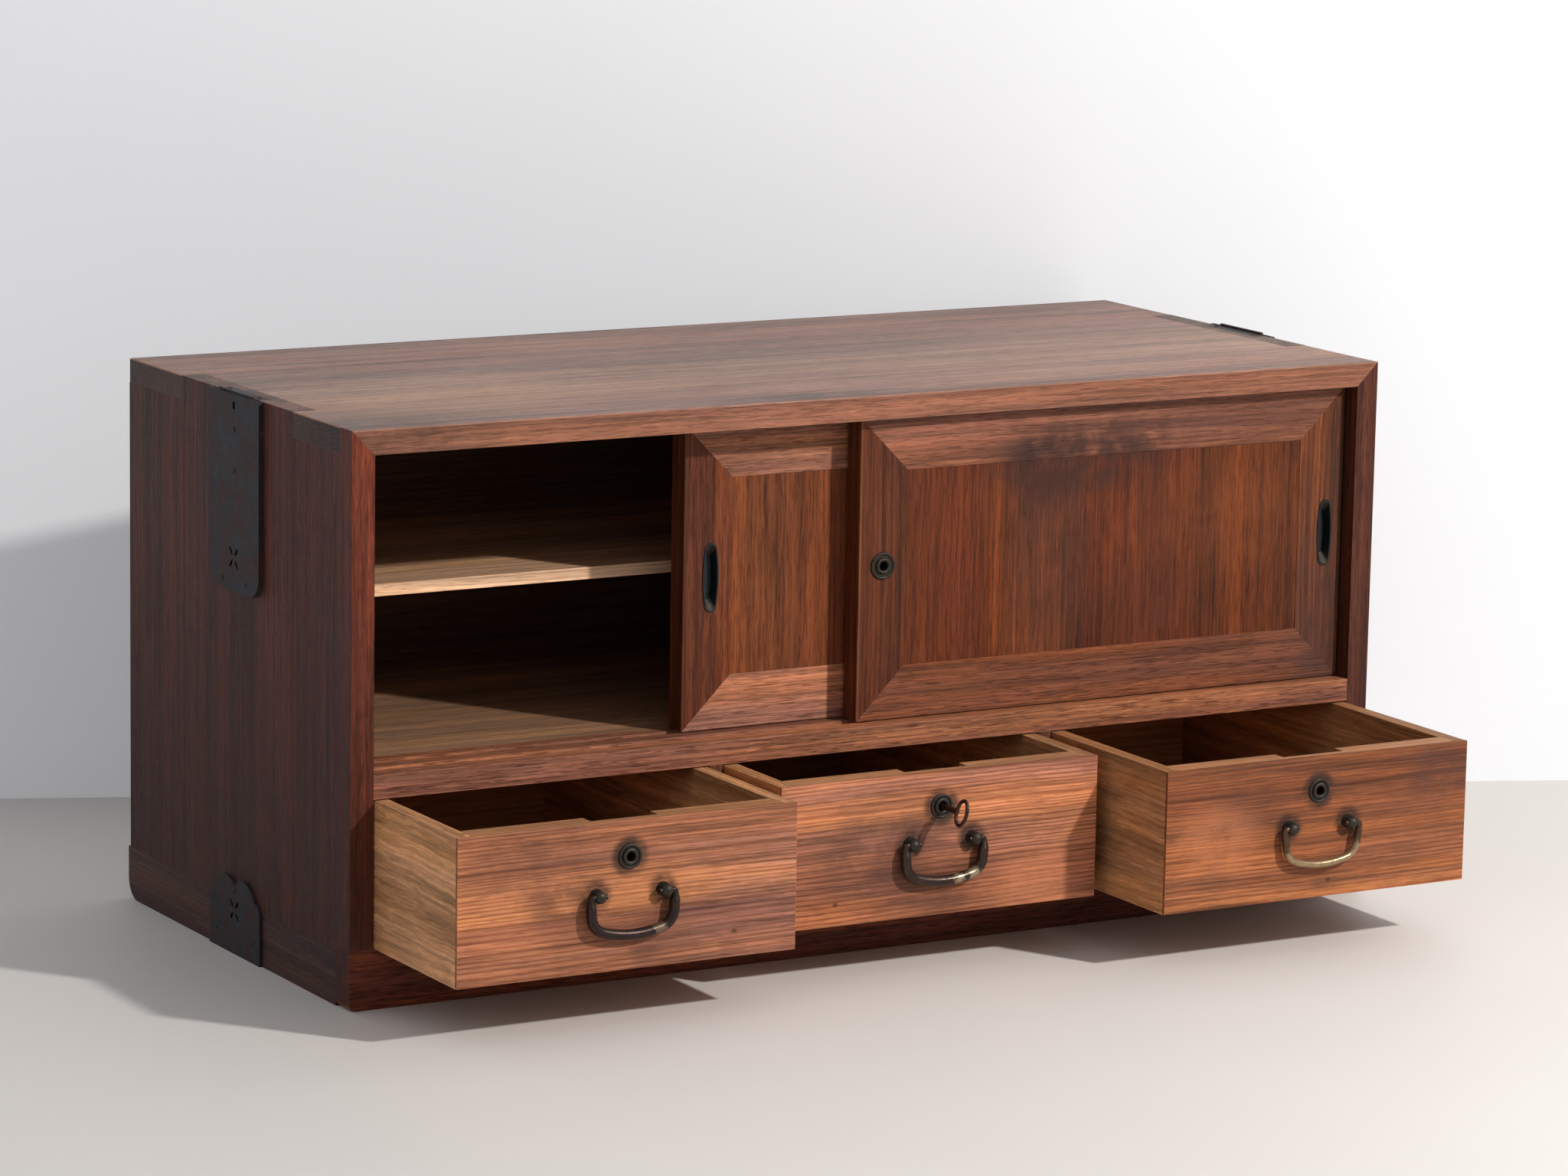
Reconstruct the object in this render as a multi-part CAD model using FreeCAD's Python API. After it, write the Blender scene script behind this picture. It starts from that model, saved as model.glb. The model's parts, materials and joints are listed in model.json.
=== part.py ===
import FreeCAD, Part
import math
import os

# Low cabinet with two sliding doors over three drawers, in millimetres.
# +X is to the viewer's right, +Y to the back, +Z up. The origin is on the floor under
# the middle of the case. Doors and drawers stand as left by their user: one door slid
# to the middle, all three drawers pulled out by different amounts.

# Case
case_width = 950.0
case_depth = 421.0
case_height = 454.0
board = 20.0
top_finger_shares = (0.25, 0.75)
housing_depth = 6.0
back_board = 8.0
back_rebate = 10.0
back_board_count = 3

# Base
base_rail_height = 48.0
base_rail_depth = 24.0
base_corner_radius = 6.0
runner_height = 44.0
runner_width = 34.0
runner_lip = 14.0
runner_tail = 4.0
heel_radius = 18.0
bottom_board = 15.0
slip_width = 12.0

# Drawer tier and the sill above it
drawer_count = 3
drawer_opening_height = 118.0
divider = 12.0
sill_height = 19.0
sill_depth = 65.0
facing = 3.0
tenon_length = 10.0
tenon_shoulder = 4.0

# Cupboard
floor_board = 12.0
shelf_board = 10.0
shelf_height_share = 0.506
shelf_setback = 115.0

# Doors
door_overlap = 34.0
door_thickness = 21.0
door_side_gap = 2.0
door_end_gap = 1.0
front_door_setback = 15.0
door_spacing = 4.0
frame_width = 43.5
left_door_slid_share = 0.6628
tongue = 9.0
tongue_setback = 3.0
tongue_clearance = 0.5
sill_groove = 3.0
head_groove = 9.5
head_tongue = 5.0
panel_sink = 0.5
panel_back = 10.0
panel_tongue = 5.0
panel_reach = 6.5
door_arris = 2.0

# Finger pulls of the doors
pull_width = 14.4
pull_height = 56.0
pull_end_share = 0.72
pull_rim = 1.4
pull_rim_rise = 0.8
pull_depth = 8.0
pull_wall = 1.0
pull_floor_share = 0.7
left_pull_from_edge = 24.5
right_pull_from_edge = 17.0

# Locks, their escutcheons and the key
lock_from_top = 28.0
lock_case_width = 56.0
lock_case_height = 40.0
lock_case_thickness = 12.0
lock_case_drop = 3.0
lock_notch_side = 1.0
bolt_width = 24.0
bolt_height = 20.0
bolt_thickness = 4.4
bolt_clearance = 0.3
bolt_travel = 8.0
bolt_mortise_margin = 1.5
bolt_mortise_depth = 6.0
keyhole_radius = 3.8
escutcheon_radius = 10.0
door_escutcheon_radius = 11.2
escutcheon_edge = 0.6
escutcheon_bead = 2.4
escutcheon_bead_rise = 1.7
escutcheon_collar = 2.9
escutcheon_collar_rise = 2.9
escutcheon_lip = 2.1
bush_wall = 1.0
door_lock_width = 30.0
door_lock_height = 50.0
door_lock_rise = 3.0
key_radius = 2.4
key_blade_width = 7.0
key_blade_thickness = 2.4
key_pilot_radius = 1.5
key_pilot_clearance = 0.3
key_pilot_length = 2.0
key_reach = 23.5
bow_half_reach = 7.2
bow_half_height = 10.0
bow_wire_radius = 1.5
key_turn = 15.0
key_full_turn = 90.0

# Drawers
drawer_side_gap = 1.2
drawer_top_gap = 1.0
drawer_sill_gap = 0.6
drawer_front = 22.0
drawer_side = 13.0
drawer_back = 12.0
drawer_bottom = 7.0
drawer_bottom_lift = 8.0
drawer_joint = 4.0
core_tongue = 7.0
drawer_closed_setback = 1.0
drawer_back_gap = 2.0
left_drawer_out = 142.0
middle_drawer_out = 92.0
right_drawer_out = 173.0

# Bails and their posts
post_half_spacing = 28.8
post_below_lock = 28.0
post_shank_radius = 3.0
post_collar_radius = 5.6
post_collar = 1.4
post_ball_radius = 5.1
post_ball_out = 6.4
post_tail = 1.6
post_tail_radius = 4.5
bail_pin_radius = 2.1
bail_pin_clearance = 0.3
bail_pin_end = 1.0
bail_ball_clearance = 0.4
bail_drop = 31.5
bail_half_width = 39.8
right_bail_half_width = 37.6
bail_shoulder_radius = 2.5
bail_neck_share = 0.45
bail_top_corner = 2.6
bail_corner = 14.0
bail_corner_turn = 74.0
left_bail_wire = 4.1
middle_bail_wire = 4.3
right_bail_wire = 3.1

# Carrying irons
carry_setback = 206.0
cover_width = 94.0
cover_drop = 158.0
cover_corner = 18.0
sheet = 1.2
channel = 3.0
slot_width = 4.0
slot_height = 6.0
slot_drop = 9.0
loop_width = 63.0
loop_strap = 9.0
loop_rise = 2.0
loop_corner = 6.0
loop_clearance = 0.3
backing_width = 78.0
backing_drop = 125.0
backing_flange = 11.0
backing = 1.0
foot_plate = 2.5
foot_plate_width = 96.0
foot_plate_height = 62.0
foot_plate_return = 24.0
foot_setback = 208.0
foot_edge_shares = ((1.0, 0.62), (0.93, 0.76), (0.78, 0.8), (0.5, 0.99), (0.0, 0.9))
petal_count = 4
petal_length = 9.0
petal_width = 3.4
petal_inset = 2.6
cover_motif_drop = 131.0
foot_motif_height = 36.0

# Nails of the irons, with their heights and places
nail_radius = 1.5
nail_head_radius = 2.6
nail_head = 1.0
nail_head_share = 0.55
nail_bite = 12.0
upper_nail_drop = 28.0
stop_nail_drop = 61.0
low_nail_drop = 150.0
low_nail_side = 22.0
flange_nail_side = 28.0
foot_nail_height = 16.0
foot_nail_side = 34.0
foot_top_nail_height = 52.0

FULL_TURN = 360.0
QUARTER_TURN = 90.0
V = FreeCAD.Vector
AXIS_X = V(1, 0, 0)
AXIS_Y = V(0, 1, 0)
AXIS_Z = V(0, 0, 1)

# Planes and levels worked out from the sizes above
front_y = -case_depth / 2
back_y = case_depth / 2
side_x = case_width / 2
inner_x = side_x - board
head_z = case_height - board
back_face_y = back_y - back_board
sill_bottom_z = base_rail_height + drawer_opening_height
sill_top_z = sill_bottom_z + sill_height
sill_back_y = front_y + sill_depth
opening_width = (case_width - 2 * board - (drawer_count - 1) * divider) / drawer_count
drawer_pitch = opening_width + divider
drawer_width = opening_width - 2 * drawer_side_gap
drawer_depth = case_depth - back_board - drawer_back_gap - drawer_closed_setback
drawer_top_z = sill_bottom_z - drawer_top_gap
lock_z = drawer_top_z - lock_from_top
post_z = lock_z - post_below_lock
rear_door_setback = front_door_setback + door_thickness + door_spacing
door_bottom_z = sill_top_z + door_end_gap
door_top_z = head_z - door_end_gap
door_middle_z = (door_bottom_z + door_top_z) / 2
door_lock_z = door_middle_z + door_lock_rise
door_width = inner_x - door_side_gap + door_overlap / 2
door_travel = 2 * (inner_x - door_side_gap) - door_width
left_door_x = -inner_x + door_side_gap + left_door_slid_share * door_travel
right_door_x = inner_x - door_side_gap - door_width
carry_y = front_y + carry_setback
foot_y = front_y + foot_setback
cover_x = -side_x - channel - sheet
loop_height = loop_rise + low_nail_drop - nail_radius - loop_clearance


def block(x0, x1, y0, y1, z0, z1):
    """A box between two corners."""
    return Part.makeBox(x1 - x0, y1 - y0, z1 - z0, V(x0, y0, z0))


def rod(radius, start, end):
    """A round bar from one point to another."""
    return Part.makeCylinder(radius, (end - start).Length, start, end - start)


def on_side(x):
    """Places outline points (y, z) on the plane at x."""
    return lambda y, z: V(x, y, z)


def on_front(y):
    """Places outline points (x, z) on the plane at y."""
    return lambda x, z: V(x, y, z)


def outline(place, start, *steps):
    """A closed face: each step is one point for a straight run, or two for an arc through the first."""
    edges = []
    here = place(*start)
    for step in list(steps) + [[start]]:
        points = [place(*point) for point in step]
        if (points[-1] - here).Length > Part.Vertex(here).Tolerance:
            if len(points) == 1:
                edges.append(Part.LineSegment(here, points[0]).toShape())
            else:
                edges.append(Part.Arc(here, points[0], points[1]).toShape())
        here = points[-1]
    return Part.Face(Part.Wire(edges))


def joined(pieces):
    """Pieces forged or glued into one."""
    return pieces[0].multiFuse(pieces[1:]).removeSplitter()


def mirrored(shape):
    """The same piece on the other side of the case."""
    return shape.mirror(V(0, 0, 0), AXIS_X)


def save(node, *solids):
    """Writes one node, as one solid or as a group of separate ones."""
    shape = solids[0] if len(solids) == 1 else Part.makeCompound(list(solids))
    shape.exportStep("parts/" + node + ".step")


def round_corner(y_corner, z_corner, y_sign, z_sign, radius):
    """Start, middle and end of a quarter circle that rounds a corner of an outline."""
    dip = radius * (1 - 1 / math.sqrt(2))
    start = (y_corner, z_corner + z_sign * radius)
    middle = (y_corner + y_sign * dip, z_corner + z_sign * dip)
    end = (y_corner + y_sign * radius, z_corner)
    return start, middle, end


# Case pieces

def sill_rail():
    """Rail under the doors, with stub tenons and a groove for each door."""
    core = block(-inner_x, inner_x, front_y + facing, sill_back_y, sill_bottom_z, sill_top_z)
    tenon = block(-inner_x - tenon_length, inner_x + tenon_length,
                  front_y + facing + tenon_shoulder, sill_back_y - tenon_shoulder,
                  sill_bottom_z + tenon_shoulder, sill_top_z - tenon_shoulder)
    return joined([core, tenon])


def door_groove(setback, z0, z1):
    """The groove that a door's tongue runs in, between the side boards."""
    y0 = front_y + setback + tongue_setback - tongue_clearance
    y1 = y0 + tongue + 2 * tongue_clearance
    return block(-inner_x, inner_x, y0, y1, z0, z1)


def bolt_mortise(centre_x):
    """The pocket over a closed drawer that its raised bolt enters."""
    middle_y = front_y + drawer_closed_setback + drawer_front - lock_case_thickness / 2
    half_width = bolt_width / 2 + bolt_mortise_margin
    half_depth = bolt_thickness / 2 + bolt_mortise_margin
    return block(centre_x - half_width, centre_x + half_width, middle_y - half_depth,
                 middle_y + half_depth, sill_bottom_z, sill_bottom_z + bolt_mortise_depth)


def housed_board(y0, z0, z1):
    """A level board let into the side boards and running to the back boards."""
    return block(-inner_x - housing_depth, inner_x + housing_depth, y0, back_face_y, z0, z1)


def divider_board(centre_x):
    """Upright board between two drawers, notched over the base rail and under the sill."""
    profile = outline(on_side(centre_x - divider / 2), (front_y, base_rail_height),
                      [(front_y + base_rail_depth, base_rail_height)],
                      [(front_y + base_rail_depth, runner_height)],
                      [(back_face_y, runner_height)],
                      [(back_face_y, sill_top_z - floor_board)],
                      [(sill_back_y, sill_top_z - floor_board)],
                      [(sill_back_y, sill_bottom_z)],
                      [(front_y, sill_bottom_z)])
    return profile.extrude(AXIS_X * divider)


def base_rail():
    """Full-width rail under the drawers, its lower outer corners rounded."""
    rail = block(-side_x, side_x, front_y, front_y + base_rail_depth, 0, base_rail_height)
    corners = [edge for edge in rail.Edges
               if edge.BoundBox.ZMax < base_corner_radius
               and edge.BoundBox.YLength > edge.BoundBox.XLength]
    return rail.makeFillet(base_corner_radius, corners)


def runner():
    """Left sled runner under the side board, rounded at its heel behind the back."""
    heel_y = back_y + runner_tail
    top, middle, bottom = round_corner(heel_y, 0, -1, 1, heel_radius)
    profile = outline(on_side(-side_x), (front_y + base_rail_depth, 0), [bottom], [middle, top],
                      [(heel_y, runner_height)], [(front_y + base_rail_depth, runner_height)])
    return profile.extrude(AXIS_X * runner_width)


def bottom_plank():
    """Bottom board, resting in the rebates of both runners."""
    reach = side_x - runner_lip
    return block(-reach, reach, front_y + base_rail_depth, back_y,
                 runner_height - bottom_board, runner_height)


def drawer_slips():
    """Two thin strips under each drawer that its sides run on."""
    strips = []
    for centre_x in drawer_centres():
        for end in (-1, 1):
            outer = centre_x + end * opening_width / 2
            inner = outer - end * slip_width
            strips.append(block(min(outer, inner), max(outer, inner),
                                front_y + base_rail_depth, back_face_y,
                                runner_height, base_rail_height))
    return strips


def drawer_centres():
    """Middle of each drawer opening, from left to right."""
    first = -drawer_pitch * (drawer_count - 1) / 2
    return [first + index * drawer_pitch for index in range(drawer_count)]


def back_boards():
    """Level boards nailed into the rebate behind."""
    top_z = head_z + back_rebate
    height = (top_z - runner_height) / back_board_count
    reach = inner_x + back_rebate
    return [block(-reach, reach, back_face_y, back_y,
                  runner_height + index * height, runner_height + (index + 1) * height)
            for index in range(back_board_count)]


def top_corner():
    """What the top board holds of the left corner: the front mitre and both end fingers."""
    first, last = [front_y + share * case_depth for share in top_finger_shares]
    mitre = outline(on_front(front_y), (-side_x, case_height), [(-inner_x, case_height)],
                    [(-inner_x, head_z)]).extrude(AXIS_Y * board)
    return [mitre,
            block(-side_x, -inner_x, front_y + board, first, head_z, case_height),
            block(-side_x, -inner_x, last, back_y, head_z, case_height)]


def side_board(mates):
    """Left side board, with its middle finger, housings, mortises and back rebate."""
    blank = block(-side_x, -inner_x, front_y, back_y, runner_height, case_height)
    return blank.cut(top_corner() + mates)


def top_board(sides, mates):
    """Top board, jointed to both sides and grooved for the doors."""
    blank = block(-side_x, side_x, front_y, back_y, head_z, case_height)
    grooves = [door_groove(setback, head_z, head_z + head_groove)
               for setback in (front_door_setback, rear_door_setback)]
    return blank.cut(sides + mates + grooves)


# Ironwork of the left side; the right side has the same mirrored

def ornament(x0, x1, centre_y, centre_z):
    """Cutter for a pierced flower: slim petals round a centre, between two planes."""
    petal = outline(on_side(x0), (0, petal_inset),
                    [(petal_width / 2, petal_inset + petal_length / 2),
                     (0, petal_inset + petal_length)],
                    [(-petal_width / 2, petal_inset + petal_length / 2), (0, petal_inset)])
    petals = []
    for index in range(petal_count):
        cutter = petal.extrude(AXIS_X * (x1 - x0))
        cutter.rotate(V(0, 0, 0), AXIS_X, (index + 1 / 2) * FULL_TURN / petal_count)
        cutter.translate(V(0, centre_y, centre_z))
        petals.append(cutter)
    return petals


def cover_outline(place, grow=0):
    """Cover plate's outline with rounded lower corners."""
    front = carry_y - cover_width / 2 - grow
    back = carry_y + cover_width / 2 + grow
    low = case_height - cover_drop - grow
    back_top, back_middle, back_low = round_corner(back, low, -1, 1, cover_corner)
    front_top, front_middle, front_low = round_corner(front, low, 1, 1, cover_corner)
    return outline(place, (front, case_height), [(back, case_height)], [back_top],
                   [back_middle, back_low], [front_low], [front_middle, front_top])


def carry_cover():
    """Cover plate: a shallow tray, open at the top, nailed over the carrying loop."""
    tray = cover_outline(on_side(-side_x)).extrude(-AXIS_X * (channel + sheet))
    hollow = cover_outline(on_side(-side_x), -sheet).extrude(-AXIS_X * channel)
    slot_z = case_height - slot_drop
    slot = block(cover_x, -side_x, carry_y - slot_width / 2, carry_y + slot_width / 2,
                 slot_z - slot_height / 2, slot_z + slot_height / 2)
    petals = ornament(cover_x, -side_x, carry_y, case_height - cover_motif_drop)
    return tray.cut([hollow, slot] + petals)


def carry_loop():
    """Closed strap behind the cover plate, over its lower nails; it slides up to take a pole."""
    x1 = -side_x - loop_clearance
    x0 = -side_x - channel + loop_clearance
    top = case_height + loop_rise
    low = top - loop_height
    half = loop_width / 2
    back_top, back_middle, back_low = round_corner(carry_y + half, low, -1, 1, loop_corner)
    front_top, front_middle, front_low = round_corner(carry_y - half, low, 1, 1, loop_corner)
    outer = outline(on_side(x0), (carry_y - half, top), [(carry_y + half, top)], [back_top],
                    [back_middle, back_low], [front_low], [front_middle, front_top])
    window = block(x0, x1, carry_y - half + loop_strap, carry_y + half - loop_strap,
                   low + loop_strap, top - loop_strap)
    return outer.extrude(AXIS_X * (x1 - x0)).cut(window)


def backing_plate():
    """Plate let into the wood behind the loop and folded over the top edge."""
    y0 = carry_y - backing_width / 2
    y1 = carry_y + backing_width / 2
    leg = block(-side_x, -side_x + backing, y0, y1, case_height - backing_drop, case_height)
    flange = block(-side_x, -side_x + backing_flange, y0, y1, case_height - backing, case_height)
    return joined([leg, flange])


def foot_iron():
    """Foot plate with a lobed top edge, folded under the runner."""
    half = foot_plate_width / 2

    def edge(end):
        return [(foot_y + end * half * across, foot_plate_height * up)
                for across, up in foot_edge_shares]

    side, shoulder, neck, crown, valley = edge(1)
    far_side, far_shoulder, far_neck, far_crown = edge(-1)[:-1]
    lobes = outline(on_side(-side_x - foot_plate), (foot_y - half, 0), [(foot_y + half, 0)],
                    [side], [shoulder, neck], [crown, valley],
                    [far_crown, far_neck], [far_shoulder, far_side])
    leg = lobes.extrude(AXIS_X * foot_plate)
    fold = block(-side_x - foot_plate, -side_x + foot_plate_return, foot_y - half, foot_y + half,
                 0, foot_plate)
    petals = ornament(-side_x - foot_plate, -side_x, foot_y, foot_motif_height)
    return joined([leg, fold]).cut(petals)


def nail(head_point, direction, depth):
    """A nail with a low domed head standing on head_point and its shank going in along direction."""
    head = Part.makeCone(nail_head_radius, nail_head_radius * nail_head_share, nail_head,
                         head_point, -direction)
    shank = rod(nail_radius, head_point, head_point + direction * depth)
    return joined([head, shank])


def side_nails():
    """Nails of the left irons: cover plate, folded flange and foot plate."""
    through_cover = channel + sheet + nail_bite
    nails = [nail(V(cover_x, carry_y, case_height - drop), AXIS_X, through_cover)
             for drop in (upper_nail_drop, stop_nail_drop)]
    for end in (-1, 1):
        nails.append(nail(V(cover_x, carry_y + end * low_nail_side, case_height - low_nail_drop),
                          AXIS_X, through_cover))
        nails.append(nail(V(-side_x + backing_flange / 2, carry_y + end * flange_nail_side,
                            case_height), -AXIS_Z, nail_bite))
        nails.append(nail(V(-side_x - foot_plate, foot_y + end * foot_nail_side,
                            foot_nail_height), AXIS_X, foot_plate + nail_bite))
    nails.append(nail(V(-side_x - foot_plate, foot_y, foot_top_nail_height), AXIS_X,
                      foot_plate + nail_bite))
    return nails


# Door pieces

def pull_oval(centre_x, y, margin, share=1):
    """Outline of a finger pull at depth y, with round ends and long bowed sides."""
    half_width = (pull_width / 2 - margin) * share
    half_height = (pull_height / 2 - margin) * share
    end_radius = half_width * pull_end_share
    reach = half_height - end_radius
    slack = half_width - end_radius
    side_radius = (reach ** 2 + half_width ** 2 - end_radius ** 2) / (2 * slack)
    meet = end_radius / (side_radius - end_radius)
    x = meet * (side_radius - half_width)
    z = reach * (1 + meet)

    def at(across, up):
        return V(centre_x + across, y, door_middle_z + up)

    arcs = [Part.Arc(at(-x, z), at(0, half_height), at(x, z)),
            Part.Arc(at(x, z), at(half_width, 0), at(x, -z)),
            Part.Arc(at(x, -z), at(0, -half_height), at(-x, -z)),
            Part.Arc(at(-x, -z), at(-half_width, 0), at(-x, z))]
    return Part.Wire([arc.toShape() for arc in arcs])


def pull_dish(centre_x, face_y, top_y, margin, depth):
    """A dished oval from top_y to a narrower floor at depth behind the face."""
    return Part.makeLoft([pull_oval(centre_x, top_y, margin),
                          pull_oval(centre_x, face_y + depth, margin, pull_floor_share)], True)


def finger_pull(centre_x, face_y):
    """Oval dished cup with a thin rim, and the outside of the cup that its stile is cut for."""
    rim = Part.Face(pull_oval(centre_x, face_y - pull_rim_rise, 0))
    cup = pull_dish(centre_x, face_y, face_y, pull_rim - pull_wall, pull_depth)
    hollow = pull_dish(centre_x, face_y, face_y - pull_rim_rise, pull_rim,
                       pull_depth - pull_wall)
    return joined([rim.extrude(AXIS_Y * pull_rim_rise), cup]).cut(hollow), cup


def escutcheon(centre_x, face_y, centre_z, radius, bush):
    """Turned ring with a beaded rim and a raised collar round the keyhole, and its bush."""
    def turned(r, out):
        return V(centre_x + r, face_y - out, centre_z)

    groove_radius = radius - escutcheon_bead
    collar_radius = keyhole_radius + escutcheon_collar
    face = outline(turned, (keyhole_radius, -bush), [(keyhole_radius + bush_wall, -bush)],
                   [(keyhole_radius + bush_wall, 0)], [(radius, 0)], [(radius, escutcheon_edge)],
                   [((radius + groove_radius) / 2, escutcheon_bead_rise),
                    (groove_radius, escutcheon_edge)],
                   [(collar_radius, escutcheon_edge)],
                   [((keyhole_radius + collar_radius) / 2, escutcheon_collar_rise),
                    (keyhole_radius, escutcheon_lip)])
    return face.revolve(V(centre_x, face_y, centre_z), AXIS_Y, FULL_TURN)


def door_frame(left_x, face_y):
    """Two stiles and two rails, mitred at the corners; the rails carry the running tongues."""
    right_x = left_x + door_width
    z0, z1 = door_bottom_z, door_top_z
    inner_left, inner_right = left_x + frame_width, right_x - frame_width
    inner_low, inner_high = z0 + frame_width, z1 - frame_width
    place = on_front(face_y)
    faces = [outline(place, (left_x, z0), [(left_x, z1)], [(inner_left, inner_high)],
                     [(inner_left, inner_low)]),
             outline(place, (right_x, z0), [(inner_right, inner_low)],
                     [(inner_right, inner_high)], [(right_x, z1)]),
             outline(place, (left_x, z0), [(inner_left, inner_low)],
                     [(inner_right, inner_low)], [(right_x, z0)]),
             outline(place, (left_x, z1), [(right_x, z1)], [(inner_right, inner_high)],
                     [(inner_left, inner_high)])]
    left, right, low, high = [face.extrude(AXIS_Y * door_thickness) for face in faces]
    tongue_y = face_y + tongue_setback
    foot = block(left_x, right_x, tongue_y, tongue_y + tongue, sill_top_z - sill_groove, z0)
    crest = block(left_x, right_x, tongue_y, tongue_y + tongue, z1, head_z + head_tongue)
    return left, right, joined([low, foot]), joined([high, crest])


def door_panel(left_x, face_y):
    """Panel almost flush with the frame, held by a tongue all round."""
    x0, x1 = left_x + frame_width, left_x + door_width - frame_width
    z0, z1 = door_bottom_z + frame_width, door_top_z - frame_width
    y1 = face_y + panel_back
    field = block(x0, x1, face_y + panel_sink, y1, z0, z1)
    edge = block(x0 - panel_reach, x1 + panel_reach, y1 - panel_tongue, y1,
                 z0 - panel_reach, z1 + panel_reach)
    return joined([field, edge])


def softened(stile, left_x, face_y):
    """A stile whose outer front edge is rounded by handling."""
    edges = [edge for edge in stile.Edges
             if abs(edge.BoundBox.Center.x - left_x) < edge.Tolerance
             and abs(edge.BoundBox.Center.y - face_y) < edge.Tolerance]
    return stile.makeFillet(door_arris, edges)


def build_door(name, left_x, setback, pull_x):
    """Frame, panel and finger pull of one door; gives back the stiles for more cuts."""
    face_y = front_y + setback
    left, right, low, high = door_frame(left_x, face_y)
    left = softened(left, left_x, face_y)
    panel = door_panel(left_x, face_y)
    pull, seat = finger_pull(pull_x, face_y)
    save(name + "_panel", panel)
    save(name + "_finger_pull", pull)
    save(name + "_rails", low.cut(panel), high.cut(panel))
    return left.cut([panel, seat]), right.cut([panel, seat])


# Lock and drawer pieces

def lock_case(centre_x, inner_y, top_z):
    """Iron lock box with a keyhole, a pilot hole and a pocket that the bolt rises from."""
    y0 = inner_y - lock_case_thickness
    case = block(centre_x - lock_case_width / 2, centre_x + lock_case_width / 2,
                 y0, inner_y, top_z - lock_case_height, top_z)
    half_width = bolt_width / 2 + bolt_clearance
    half_depth = bolt_thickness / 2 + bolt_clearance
    middle_y = inner_y - lock_case_thickness / 2
    pocket = block(centre_x - half_width, centre_x + half_width, middle_y - half_depth,
                   middle_y + half_depth, top_z - bolt_height, top_z)
    back_plate_y = inner_y - key_pilot_length
    keyhole = rod(keyhole_radius, V(centre_x, y0, lock_z), V(centre_x, back_plate_y, lock_z))
    pilot = rod(key_pilot_radius + key_pilot_clearance, V(centre_x, back_plate_y, lock_z),
                V(centre_x, inner_y, lock_z))
    return case.cut([pocket, keyhole, pilot])


def lock_bolt(centre_x, inner_y, top_z, rise):
    """Flat bolt in its pocket, raised by rise."""
    middle_y = inner_y - lock_case_thickness / 2
    return block(centre_x - bolt_width / 2, centre_x + bolt_width / 2,
                 middle_y - bolt_thickness / 2, middle_y + bolt_thickness / 2,
                 top_z - bolt_height + rise, top_z + rise)


def bail_post(x, face_y, inner_y):
    """Post with a ball head drilled for the bail, clenched inside the drawer."""
    centre = V(x, face_y - post_ball_out, post_z)
    ball = Part.makeSphere(post_ball_radius, centre)
    shank = rod(post_shank_radius, centre, V(x, inner_y + post_tail, post_z))
    collar = rod(post_collar_radius, V(x, face_y - post_collar, post_z), V(x, face_y, post_z))
    clench = rod(post_tail_radius, V(x, inner_y, post_z), V(x, inner_y + post_tail, post_z))
    eye_radius = bail_pin_radius + bail_pin_clearance
    eye = rod(eye_radius, centre - AXIS_X * post_ball_radius, centre + AXIS_X * post_ball_radius)
    return joined([ball, shank, collar, clench]).cut(eye)


def wire_bend(radius, point, heading, turn_radius, turn):
    """A bent piece of round wire that turns right by turn degrees, with its end and heading."""
    right = V(heading.z, 0, -heading.x)
    centre = point + right * turn_radius
    ring = Part.Wire(Part.makeCircle(radius, point, heading))
    bend = Part.Face(ring).revolve(centre, AXIS_Y, turn)
    spin = FreeCAD.Rotation(AXIS_Y, turn)
    return bend, centre + spin.multVec(point - centre), spin.multVec(heading)


def bail(centre_x, face_y, wire_radius, half_width):
    """Round bail: pins through both posts, tapering arms, round corners and a bowed grip."""
    axis = V(centre_x, face_y - post_ball_out, post_z)
    arm_x = post_half_spacing + post_ball_radius + bail_ball_clearance + bail_pin_radius
    pin_start = axis + AXIS_X * (post_half_spacing - post_ball_radius - bail_pin_end)
    pin_end = axis + AXIS_X * (arm_x - bail_top_corner)
    pin = rod(bail_pin_radius, pin_start, pin_end)
    shoulder, arm_top, heading = wire_bend(bail_shoulder_radius, pin_end, AXIS_X,
                                           bail_top_corner, QUARTER_TURN)
    grip_x = centre_x + half_width - wire_radius
    turn = math.radians(bail_corner_turn)
    bow = (grip_x - centre_x - bail_corner * (1 - math.cos(turn))) / math.cos(turn)
    fall = bail_corner * math.sin(turn) + bow * (1 - math.sin(turn))
    arm_end = V(grip_x, axis.y, post_z - bail_drop + fall)
    neck_end = arm_top + (arm_end - arm_top) * bail_neck_share
    rings = [Part.Wire(Part.makeCircle(radius, point, -AXIS_Z))
             for radius, point in ((bail_shoulder_radius, arm_top), (wire_radius, neck_end),
                                   (wire_radius, arm_end))]
    neck = Part.makeLoft(rings[:2], True)
    arm = Part.makeLoft(rings[1:], True)
    corner, point, heading = wire_bend(wire_radius, arm_end, -AXIS_Z,
                                       bail_corner, bail_corner_turn)
    grip, point, heading = wire_bend(wire_radius, point, heading, bow,
                                     QUARTER_TURN - bail_corner_turn)
    half = [pin, shoulder, neck, arm, corner, grip]
    other = [piece.mirror(axis, AXIS_X) for piece in half]
    return joined(half + other)


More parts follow.
